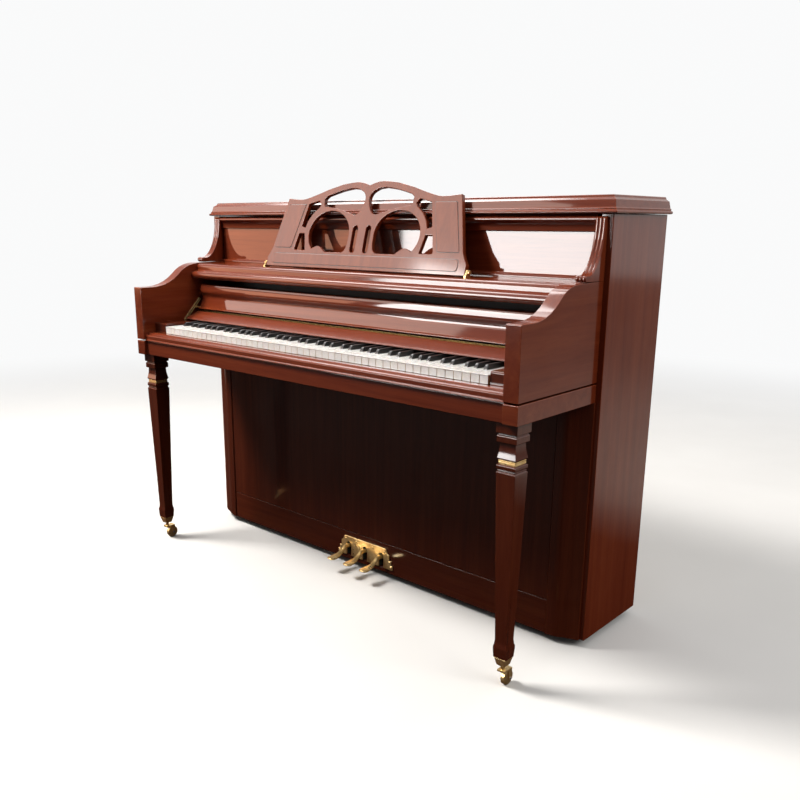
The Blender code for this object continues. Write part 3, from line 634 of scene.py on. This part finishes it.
def music_desk():
    refined("music_desk", mahogany("Z"), 0.0022, 3, mahogany("Z", "satin", True), 28)
    work = bmesh.new()
    for side in (1, -1):
        framed_field(work, rounded([(side * x, up) for x, up in SIDE_FIELD], 0.004))
    framed_field(work, rounded(FOOT_FIELD, 0.010))
    looks = [mahogany("Z"), groove_painted_shade()]
    piece("music_desk_fields", work, looks, "music_desk", (), 0)
    work = bmesh.new()
    axis = JOINT["music_desk_tilt"]["pos_m"]
    for side, name in SIDES:
        refined(f"desk_pivot_{name}", brass(), 0.0006)
        low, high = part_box(f"desk_pivot_{name}")
        outside = max(abs(low.x), abs(high.x)) * side
        start = (outside - side * PIN_SUNK, axis[1], axis[2])
        lathe(work, start, (side, 0, 0), DESK_PIN, 16)
    piece("music_desk_pins", work, [brass()], "music_desk")


# ---- keyboard ----

NATURALS = 52
SHARP_AFTER = "ACDFG"
SHARP_SHIFT = {"A": 0.003, "C": -0.0025, "D": 0.0025, "F": -0.003, "G": 0.0}
KEYS_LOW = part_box("naturals_bass")[0]
KEYS_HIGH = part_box("naturals_treble")[1]
KEY_CLEAR = 0.0008
PITCH = (KEYS_HIGH.x - KEYS_LOW.x + KEY_CLEAR) / NATURALS
FIRST_X = KEYS_LOW.x - KEY_CLEAR / 2
SHARP_LOW, SHARP_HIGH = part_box("key_c_sharp4")
SHARP_HALF = (SHARP_HIGH.x - SHARP_LOW.x) / 2
SHOULDER = SHARP_LOW.y - KEY_CLEAR
CAP = 0.0024  # thickness of a white key's top
LIP = 0.0009  # how far it stands out over the key's front
PLATE = 0.0012  # thickness of the white plate on that front
KEY_INSET = 0.0004  # how far the stick and the plate lie inside the top
KEY_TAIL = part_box("nameboard")[0].y + 0.020  # where the white tops end, behind the nameboard's face
SHARP_TAPER = 0.0011
SHARP_LENGTH = 0.099


def note(index):
    return "ABCDEFG"[index % 7]


def sharp_x(index):
    if not 0 <= index < NATURALS - 1 or note(index) not in SHARP_AFTER:
        return None
    return FIRST_X + (index + 1) * PITCH + SHARP_SHIFT[note(index)]


def key_node(black, x):
    """The CAD node that holds the natural or the sharp at x."""
    for name in frame["nodes"]:
        is_key = name.startswith(("naturals", "sharps", "key_c", "key_d", "key_e"))
        if not is_key or ("sharp" in name) != black:
            continue
        low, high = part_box(name)
        if low.x <= x <= high.x:
            return name
    return None


def without_repeats(points):
    kept = []
    for point in points:
        if not kept or (Vector(point) - Vector(kept[-1])).length > 1e-6:
            kept.append(point)
    return kept


def natural(work, index):
    """Adds one white key: its cap with a front lip, its front plate and its stick."""
    left = FIRST_X + index * PITCH + KEY_CLEAR / 2
    right = left + PITCH - KEY_CLEAR
    cut = SHARP_HALF + KEY_CLEAR
    before, after = sharp_x(index - 1), sharp_x(index)
    tail_left = left if before is None else before + cut
    tail_right = right if after is None else after - cut
    front = KEYS_LOW.y
    cap = [(left, front), (right, front), (right, SHOULDER)]
    if tail_right < right:
        cap.append((tail_right, SHOULDER))
    cap += [(tail_right, KEY_TAIL), (tail_left, KEY_TAIL)]
    if tail_left > left:
        cap.append((tail_left, SHOULDER))
    cap.append((left, SHOULDER))
    top = KEYS_HIGH.z
    prism(work, without_repeats(cap), "Z", top - CAP, top, 0)
    left, right = left + KEY_INSET, right - KEY_INSET
    tail_left, tail_right = tail_left + KEY_INSET, tail_right - KEY_INSET
    plate_front, stick_front = front + LIP, front + LIP + PLATE
    plate_low = (left, plate_front, KEYS_LOW.z + KEY_INSET)
    block(work, plate_low, (right, stick_front, top - CAP), 0)
    stick = [(left, stick_front), (right, stick_front), (right, SHOULDER)]
    stick += [(tail_right, SHOULDER), (tail_right, KEYS_HIGH.y)]
    stick += [(tail_left, KEYS_HIGH.y), (tail_left, SHOULDER), (left, SHOULDER)]
    prism(work, without_repeats(stick), "Z", KEYS_LOW.z, top - CAP, 1)


def sharp(work, x):
    """Adds one black key, narrower at the top, with a sloping front."""
    base, top = KEYS_HIGH.z - 0.0005, SHARP_HIGH.z
    front = SHARP_LOW.y
    # (y, height, how much of the taper is reached)
    stations = [
        (front, base, 0.00),
        (front + 0.0002, base + 0.0020, 0.06),
        (front + 0.0035, base + (top - base) * 0.55, 0.35),
        (front + 0.0068, top - 0.0011, 0.85),
        (front + 0.0090, top - 0.0001, 1.00),
        (front + 0.0500, top, 1.00),
        (front + 0.0950, top - 0.0007, 1.00),
        (front + SHARP_LENGTH, base + 0.0005, 0.20),
    ]
    lower = base - 0.010
    rows = []
    for y, z, share in stations:
        waist = SHARP_HALF - SHARP_TAPER * 0.15 * share
        upper = SHARP_HALF - SHARP_TAPER * share
        crown = 0.0006 * share
        half = [(SHARP_HALF, lower), (waist, min(base, z))]
        half += [(upper + 0.0001, z - crown), (upper - 0.0007, z)]
        right = [(x + out, y, level) for out, level in half]
        left = [(x - out, y, level) for out, level in half]
        rows.append([left[0]] + right + left[:0:-1])
    rings(work, rows, 0)
    tail_low = (x - 0.0042, front + SHARP_LENGTH, SHARP_LOW.z)
    block(work, tail_low, (x + 0.0042, SHARP_HIGH.y, base), 1)


def keys():
    groups = {}
    for index in range(NATURALS):
        name = key_node(False, FIRST_X + (index + 0.5) * PITCH)
        natural(groups.setdefault(name, bmesh.new()), index)
    for index in range(NATURALS):
        x = sharp_x(index)
        if x is not None:
            name = key_node(True, x)
            sharp(groups.setdefault(name, bmesh.new()), x)
    for name, work in groups.items():
        black = "sharp" in name
        looks = [ebony() if black else ivory(), spruce("Y")]
        made = piece(name + "_finish", work, looks, BODY[name], (name,), 40)
        if not black:
            soften(made, 0.0004, 2, 40)
    refined("key_frame", maple(), 0.0006)


# ---- fallboard ----


KNUCKLE_LENGTH = 0.024
KNUCKLE_RADIUS = 0.0013
KNUCKLE_GAP = 0.0002  # left at each end of a knuckle
PIN_RADIUS = 0.0022
KNOB_RADIUS = 0.0040
RIVET = ((0, 0.0036), (0.0008, 0.0036), (0.0014, 0.0024))


def fallboard_hinge():
    """The continuous hinge, its knuckles shared out in turn between the case and the fallboard."""
    axis = JOINT["fallboard_fold"]["pos_m"]
    low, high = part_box("fallboard_hinge")
    half = high.x
    fixed, moving = bmesh.new(), bmesh.new()
    count = int(2 * half / KNUCKLE_LENGTH)
    length = 2 * half / count
    profile = [(0, KNUCKLE_RADIUS), (length - 2 * KNUCKLE_GAP, KNUCKLE_RADIUS)]
    for i in range(count):
        start = (-half + i * length + KNUCKLE_GAP, axis[1], axis[2])
        lathe(fixed if i % 2 else moving, start, (1, 0, 0), profile, 10)
    block(fixed, (-half, axis[1], low.z), (half, high.y, low.z + 0.0012))
    looks = [aged_brass()]
    piece("fallboard_hinge_lower", fixed, looks, "case", ("fallboard_hinge",), 40)
    piece("fallboard_hinge_upper", moving, looks, "fallboard", (), 40)


def fallboard_arms():
    """The brass arms at the fallboard's ends, each with its knob and the rivet at its foot."""
    board_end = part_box("fallboard")[1].x
    axis = JOINT["fallboard_fold"]["pos_m"]
    for side, name in SIDES:
        node = f"fallboard_arm_{name}"
        refined(node, brass(), 0.0005)
        low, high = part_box(node)
        inner_face = low.x if side > 0 else high.x
        start = (board_end * side - side * 0.004, axis[1] + 0.0060, axis[2] + 0.0090)
        reach = abs(inner_face - start[0]) - 0.0003
        knob = [(0, PIN_RADIUS), (reach - 0.0052, PIN_RADIUS), (reach - 0.0046, KNOB_RADIUS)]
        knob += [(reach - 0.0008, KNOB_RADIUS), (reach, 0.0030)]
        work = bmesh.new()
        lathe(work, start, (side, 0, 0), knob, 14)
        piece(f"fallboard_pin_{name}", work, [brass()], "fallboard", (), 40)
        foot = JOINT[f"{node}_swing"]["pos_m"]
        work = bmesh.new()
        lathe(work, (inner_face - side * 0.0003, foot[1], foot[2]), (-side, 0, 0), RIVET, 14)
        piece(f"fallboard_arm_rivet_{name}", work, [brass()], BODY[node], (), 40)


# ---- lid ----


LID_SCREWS = 12


def lid_fittings():
    """The lid's continuous hinge, and the screwed leaf of it that lifts with the lid."""
    refined("lid_hinge", brass(), 0.0004)
    axis = Vector(JOINT["top_lid_hinge"]["pos_m"])
    low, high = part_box("lid_hinge")
    lid_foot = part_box("top_lid")[0].z
    work = bmesh.new()
    leaf_low = (low.x, axis.y - 0.0013, axis.z + 0.0030)
    block(work, leaf_low, (high.x, axis.y - 0.0001, lid_foot + 0.012))
    for i in range(LID_SCREWS):
        x = low.x + (i + 0.5) * (high.x - low.x) / LID_SCREWS
        screw(work, (x, axis.y - 0.0002, lid_foot + 0.006), (0, 1, 0), 0.0026)
    piece("lid_hinge_leaf", work, [brass()], "top_lid", (), 40)


# ---- legs and casters ----


COLLAR_BANDS = ((0.5357, 0.5416), (0.5420, 0.5453))  # heights of a leg's brass collar
COLLAR_HALF = 0.0213
COLLAR_HALF_AT_EDGE = 0.02065
COLLAR_ROUNDING = 0.0004
AXLE_END = ((0, 0.0032), (0.0010, 0.0032), (0.0016, 0.0022))


def legs():
    # painted shade: the legs take the darkened mahogany for the shade under the keybed
    look, edge = mahogany("Z", "deep"), mahogany("Z", "deep", True)
    for _, name in SIDES:
        refined(f"leg_{name}", look, 0.0010, 2, edge, 30)
        refined(f"leg_ferrule_{name}", brass(), 0.0012, 3)
        refined(f"caster_fork_{name}", brass(), 0.0006)
        refined(f"caster_wheel_{name}", brass(), 0.0006)
        low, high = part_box(f"leg_{name}")
        x, y = (low.x + high.x) / 2, (low.y + high.y) / 2
        corners = ((-1, -1), (1, -1), (1, 1), (-1, 1))
        work = bmesh.new()
        for foot, top in COLLAR_BANDS:
            rows = []
            for half, z in (
                (COLLAR_HALF_AT_EDGE, foot),
                (COLLAR_HALF, foot + COLLAR_ROUNDING),
                (COLLAR_HALF, top - COLLAR_ROUNDING),
                (COLLAR_HALF_AT_EDGE, top),
            ):
                rows.append([(x + a * half, y + b * half, z) for a, b in corners])
            rings(work, rows)
        made = piece(f"leg_collar_{name}", work, [brass()], "case", (), 40)
        soften(made, COLLAR_ROUNDING)
        hub = JOINT[f"caster_wheel_{name}_spin"]["pos_m"]
        work = bmesh.new()
        for way in (1, -1):
            lathe(work, (hub[0] + way * 0.0100, hub[1], hub[2]), (way, 0, 0), AXLE_END, 12)
        piece(f"caster_axle_{name}", work, [steel()], BODY[f"caster_fork_{name}"], (), 40)
        refined(f"rear_glide_{name}", rubber(), 0.0008)


# ---- pedals ----


FELT_INSIDE = 0.0078  # each felt strip's faces, from the middle of its pedal
FELT_OUTSIDE = 0.0108
FELT_HEIGHTS = (0.036, 0.086)


def pedals():
    refined("pedal_plate", brass(), 0.0012, 3)
    low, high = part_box("pedal_plate")
    spots = ((0.1060, low.z + 0.0075), (0.0800, high.z - 0.0100), (0.0335, high.z - 0.0090))
    work = bmesh.new()
    for side in (1, -1):
        for x, z in spots:
            screw(work, (side * x, low.y, z), (0, -1, 0), 0.0034)
    piece("pedal_plate_screws", work, [brass()], "case", (), 40)
    rail_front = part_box("toe_rail")[0].y
    felts = bmesh.new()
    for name in ("soft", "practice", "sustain"):
        node = f"pedal_{name}"
        made = piece(node + "_finish", cad_copy(node), [brass()], BODY[node], (node,), 60)
        smooth = made.modifiers.new("smooth", "SUBSURF")
        smooth.levels = 2
        smooth.render_levels = 2
        middle = JOINT[f"{node}_press"]["pos_m"][0]
        for start, end in ((FELT_INSIDE, FELT_OUTSIDE), (-FELT_OUTSIDE, -FELT_INSIDE)):
            felt_low = (middle + start, rail_front + 0.0002, FELT_HEIGHTS[0])
            block(felts, felt_low, (middle + end, rail_front + 0.010, FELT_HEIGHTS[1]))
    piece("pedal_slot_felts", felts, [green_felt()], "case", (), 0)


# ---- inside and back ----


RIBS = 11
RIB_SPREAD = 0.62  # from the middle of the soundboard to the middle of the last rib
RIB_HEIGHT = 0.52
RIB_LEAN = radians(32)
RIB_HALF_WIDTH = 0.011
RIB_HALF_LENGTH = 0.34
RIB_LIMIT = 0.685


def back():
    """The wooden back, the soundboard with its slanting ribs, the pin block and the iron plate."""
    refined("back_frame", spruce("Z"), 0.0015)
    refined("soundboard", spruce("Z"), 0.0006)
    refined("pin_block", maple(), 0.0008)
    refined("iron_plate", bronze_iron(), 0.0025, 3)
    board_low, board_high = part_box("soundboard")
    rib_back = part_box("back_frame")[0].y + (board_high.y - board_low.y)
    along = Vector((sin(RIB_LEAN), cos(RIB_LEAN))) * RIB_HALF_LENGTH
    across = Vector((cos(RIB_LEAN), -sin(RIB_LEAN))) * RIB_HALF_WIDTH
    ribs = bmesh.new()
    for i in range(RIBS):
        middle = Vector((-RIB_SPREAD + i * 2 * RIB_SPREAD / (RIBS - 1), RIB_HEIGHT))
        outline = [middle - along - across, middle - along + across]
        outline += [middle + along + across, middle + along - across]
        outline = [(min(max(p.x, -RIB_LIMIT), RIB_LIMIT), p.y) for p in outline]
        prism(ribs, outline, "Y", board_high.y + 0.0002, rib_back)
    piece("soundboard_ribs", ribs, [spruce("Z")], "case", (), 30)


NOTES = 88
DAMPED_NOTES = 66
HAMMER_RAIL = 0.018  # height of the rail under the hammers
DAMPER_RAIL = 0.015
# a hammer's wooden head and its felt: (out from the shank, down from the top)
HAMMER_WOOD = ((-0.0048, 0.022), (-0.0048, 0.002), (0.002, 0.004), (0.002, 0.020))
HAMMER_FELT = (
    (0.0022, 0.0200),
    (0.0022, 0.0040),
    (0.0045, 0.0020),
    (0.0059, 0.0080),
    (0.0060, 0.0125),
    (0.0056, 0.0180),
)


def middle_depth(node):
    low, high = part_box(node)
    return (low.y + high.y) / 2


def hammers():
    low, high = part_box("hammer_rail")
    depth = middle_depth("hammer_rail")
    pitch = (high.x - low.x) / NOTES
    wood = [(depth + out, high.z - down) for out, down in HAMMER_WOOD]
    felt_outline = [(depth + out, high.z - down) for out, down in HAMMER_FELT]
    work = bmesh.new()
    block(work, low, (high.x, high.y, low.z + HAMMER_RAIL), 0)
    for i in range(NOTES):
        x = low.x + (i + 0.5) * pitch
        shank = [(0, 0.0026), (0.085, 0.0026)]
        lathe(work, (x, depth, low.z + HAMMER_RAIL), (0, 0, 1), shank, 8, 0)
        prism(work, wood, "X", x - 0.0040, x + 0.0040, 0)
        prism(work, felt_outline, "X", x - 0.0042, x + 0.0042, 1)
    looks = [maple(), white_felt()]
    piece("hammers", work, looks, "hammer_rail", ("hammer_rail",), 40)


def dampers():
    low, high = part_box("damper_rail")
    depth = middle_depth("damper_rail")
    pitch = (high.x - low.x) / DAMPED_NOTES
    work = bmesh.new()
    block(work, low, (high.x, high.y, low.z + DAMPER_RAIL), 0)
    for i in range(DAMPED_NOTES):
        x = low.x + (i + 0.5) * pitch
        wire_low = (x - 0.0016, depth - 0.0012, low.z + DAMPER_RAIL)
        block(work, wire_low, (x + 0.0016, depth + 0.0012, high.z - 0.030), 2)
        head_foot = high.z - 0.034
        head_high = (x + 0.0040, depth + 0.0004, high.z)
        block(work, (x - 0.0040, low.y + 0.0002, head_foot), head_high, 0)
        block(work, (x - 0.0040, depth + 0.0005, head_foot), (x + 0.0040, high.y, high.z), 1)
    looks = [maple(), white_felt(), brass()]
    piece("dampers", work, looks, "damper_rail", ("damper_rail",), 30)


def muffler():
    """The middle pedal's rail, with the felt strip under it that comes before the strings."""
    low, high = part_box("muffler_rail")
    depth = middle_depth("damper_rail")
    work = bmesh.new()
    block(work, (low.x, low.y, low.z + 0.012), high, 0)
    felt_low = (low.x, depth + 0.0126, low.z)
    block(work, felt_low, (high.x, depth + 0.0140, low.z + 0.0118), 1)
    looks = [maple(), green_felt()]
    piece("muffler", work, looks, "muffler_rail", ("muffler_rail",), 30)


def action():
    refined("action_frame", maple(), 0.0010)
    hammers()
    dampers()
    muffler()


def action_screen():
    """The board behind the open fallboard, dark with painted shade, which closes the view into the action."""
    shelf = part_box("desk_shelf")[1]
    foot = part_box("action_frame")[0].z + 0.008
    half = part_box("case_side_right")[0].x - 0.002
    work = bmesh.new()
    block(work, (-half, shelf.y + 0.0012, foot), (half, shelf.y + 0.0042, shelf.z - 0.002))
    made = piece("action_screen", work, [recess_shade_board()], "case", (), 40)
    soften(made, 0.0006)


BASS_NOTES = 26
SINGLE_STRINGS = 12  # the lowest notes have one string each, the others two
PIN_ROWS = 3
PIN_HEIGHT = 0.992
PIN_ROW_STEP = 0.012
TUNING_PIN = ((0, 0.0022), (0.0005, 0.0027), (0.0149, 0.0027))
STRING_SPAN = 0.590  # from the middle of the plate to the last pin
STRING_GAP = 0.0052


def string_tail(x, share, bass):
    """Where a note's strings end, across and up: bass strings lean one way, the others the other way."""
    return x * 0.93 + (0.10 if bass else -0.02), 0.120 + 0.42 * max(0, share - 0.30) ** 1.35


def strings():
    """Tuning pins and strings in front of the iron plate: wound in the bass, plain steel above."""
    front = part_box("iron_plate")[0].y
    depth = front - 0.0070
    pins, plain, wound = bmesh.new(), bmesh.new(), bmesh.new()
    for i in range(NOTES):
        share = (i + 0.5) / NOTES
        x = -STRING_SPAN + 2 * STRING_SPAN * share
        bass = i < BASS_NOTES
        radius = 0.0011 if bass else 0.00045
        tail_x, tail_z = string_tail(x, share, bass)
        each = 1 if i < SINGLE_STRINGS else 2
        for k in range(each):
            pin_z = PIN_HEIGHT + (i * each + k) % PIN_ROWS * PIN_ROW_STEP
            offset = (k - (each - 1) / 2) * STRING_GAP
            lathe(pins, (x + offset, front - 0.0150, pin_z), (0, 1, 0), TUNING_PIN, 7)
            start = Vector((x + offset, depth, pin_z - 0.003))
            run = Vector((tail_x + offset, depth, tail_z)) - start
            lathe(wound if bass else plain, start, run, [(0, radius), (run.length, radius)], 5)
    piece("tuning_pins", pins, [steel()], "case", (), 40)
    piece("steel_strings", plain, [steel()], "case", (), 60)
    piece("wound_strings", wound, [copper()], "case", (), 60)


# ---- stage ----


FLOOR_REACH = 14.0


def stage():
    work = bmesh.new()
    block(work, (-FLOOR_REACH, -FLOOR_REACH, -0.05), (FLOOR_REACH, FLOOR_REACH, 0.0))
    shown("floor", work, [pale_floor()])


def area_light(name, spot, target, size, watts, colour, lights):
    """A soft rectangular light for the surfaces' body colour or for their gloss."""
    light = bpy.data.lights.new(name, "AREA")
    light.shape = "RECTANGLE"
    light.size, light.size_y = size
    light.energy = watts
    light.color = colour
    made = bpy.data.objects.new(name, light)
    made.location = spot
    made.rotation_euler = (Vector(target) - Vector(spot)).to_track_quat("-Z", "Y").to_euler()
    made.visible_glossy = lights == "gloss"
    made.visible_diffuse = lights == "body"
    bpy.context.scene.collection.objects.link(made)


# brightness of the room by height, from straight down (0) over the horizon (0.5) to straight up (1)
ROOM_BY_HEIGHT = ((0.0, 0.30), (0.49, 0.10), (0.60, 0.14), (0.75, 0.45), (0.86, 1.0), (1.0, 1.8))
ROOM_TINT = (1.0, 0.985, 0.965, 1.0)
WALL_BEHIND = 0.85  # brightness of the pale wall behind the piano
ROOM_ON_BODY = 0.32  # share of the room's light that falls on surfaces' body colour
DAYLIGHT = (1.0, 0.985, 0.97)
# what the lacquer mirrors: a tall window, the light above it, a bright ceiling and a warm wall,
# each with its place, target, size, brightness and colour
SOFTBOXES = (
    ("window", (-1.93, -3.355, 1.50), (0, 0, 1.3), (1.42, 1.9), 19.0, DAYLIGHT),
    ("transom", (-3.50, -3.3, 2.90), (0, 0, 0.9), (3.2, 1.5), 4.2, (1.0, 0.80, 0.70)),
    ("ceiling", (-2.40, 0.7, 3.90), (0, 0, 0.8), (2.2, 1.9), 8.0, DAYLIGHT),
    ("ceiling_behind", (-2.30, 1.9, 3.90), (0, 0, 0.8), (2.6, 1.4), 3.4, DAYLIGHT),
    ("warm_wall", (-4.60, -3.4, 1.25), (0, 0, 1.0), (2.0, 1.5), 4.5, (1.0, 0.48, 0.30)),
)


# the same for the lights that only the body colour takes, with their power in watts
BODY_LIGHTS = (
    ("key", (-2.0, -1.7, 3.6), (0, 0, 0.8), (1.2, 1.0), 260, (1.0, 0.96, 0.91)),
    ("fill", (3.6, 0.0, 2.7), (0, 0, 1.0), (2.0, 1.6), 55, (1, 0.98, 0.95)),
    ("back_fill", (1.0, 3.4, 2.6), (0, 0, 0.8), (2.5, 2.0), 30, (1, 1, 1)),
)


def room():
    """A room that is bright overhead and dim at the player's side, with a pale wall behind."""
    world = bpy.data.worlds.new("studio")
    world.use_nodes = True
    tree = world.node_tree
    nodes, links = tree.nodes, tree.links
    facing = nodes.new("ShaderNodeSeparateXYZ")
    links.new(nodes.new("ShaderNodeTexCoord").outputs["Generated"], facing.inputs[0])
    height = nodes.new("ShaderNodeMapRange")
    height.inputs["From Min"].default_value = -1.0
    links.new(facing.outputs["Z"], height.inputs["Value"])
    gradient = nodes.new("ShaderNodeValToRGB")
    points = gradient.color_ramp.elements
    while len(points) < len(ROOM_BY_HEIGHT):
        points.new(0.5)
    for point, (place, level) in zip(points, ROOM_BY_HEIGHT):
        point.position = place
        point.color = (level, level, level, 1.0)
    links.new(height.outputs[0], gradient.inputs[0])
    behind = nodes.new("ShaderNodeMapRange")
    behind.inputs["From Min"].default_value = -0.1
    behind.inputs["From Max"].default_value = 0.5
    behind.inputs["To Max"].default_value = WALL_BEHIND
    links.new(facing.outputs["Y"], behind.inputs["Value"])
    total = nodes.new("ShaderNodeMath")
    total.operation = "MAXIMUM"
    links.new(gradient.outputs[0], total.inputs[0])
    links.new(behind.outputs[0], total.inputs[1])
    path = nodes.new("ShaderNodeLightPath")
    share = nodes.new("ShaderNodeMapRange")
    share.inputs["To Min"].default_value = 1.0
    share.inputs["To Max"].default_value = ROOM_ON_BODY
    links.new(path.outputs["Is Diffuse Ray"], share.inputs["Value"])
    strength = nodes.new("ShaderNodeMath")
    strength.operation = "MULTIPLY"
    links.new(total.outputs[0], strength.inputs[0])
    links.new(share.outputs[0], strength.inputs[1])
    around = nodes["Background"]
    around.inputs["Color"].default_value = ROOM_TINT
    links.new(strength.outputs[0], around.inputs["Strength"])
    wall = nodes.new("ShaderNodeBackground")
    wall.inputs["Color"].default_value = (*BACKDROP, 1.0)
    pick = nodes.new("ShaderNodeMixShader")
    links.new(path.outputs["Is Camera Ray"], pick.inputs[0])
    links.new(around.outputs[0], pick.inputs[1])
    links.new(wall.outputs[0], pick.inputs[2])
    links.new(pick.outputs[0], nodes["World Output"].inputs["Surface"])
    bpy.context.scene.world = world
    bpy.context.scene.view_settings.view_transform = "Standard"


def lights():
    for name, spot, target, size, glow, colour in SOFTBOXES:
        area_light(name, spot, target, size, glow * pi * size[0] * size[1], colour, "gloss")
    for name, spot, target, size, watts, colour in BODY_LIGHTS:
        area_light(name, spot, target, size, watts, colour, "body")


EYE = (1.6162, -1.6999, 1.0331)
LOOK_TURN, LOOK_TILT, LOOK_ROLL = 0.7482, -0.2523, 0.0025


def camera():
    """At the player's treble side, eye height, looking down a little."""
    data = bpy.data.cameras.new("camera")
    data.lens = 37.04
    data.shift_x = 0.0304
    data.shift_y = 0.0444
    made = bpy.data.objects.new("camera", data)
    turn = Matrix.Rotation(LOOK_TURN, 4, "Z") @ Matrix.Rotation(pi / 2 + LOOK_TILT, 4, "X")
    turn = turn @ Matrix.Rotation(LOOK_ROLL, 4, "Z")
    made.matrix_world = Matrix.Translation(EYE) @ turn
    bpy.context.scene.collection.objects.link(made)
    bpy.context.scene.camera = made


camera()
stage()
room()
lights()
case()
scrolls()
music_desk()
keys()
fallboard_hinge()
fallboard_arms()
lid_fittings()
legs()
pedals()
back()
action()
action_screen()
strings()
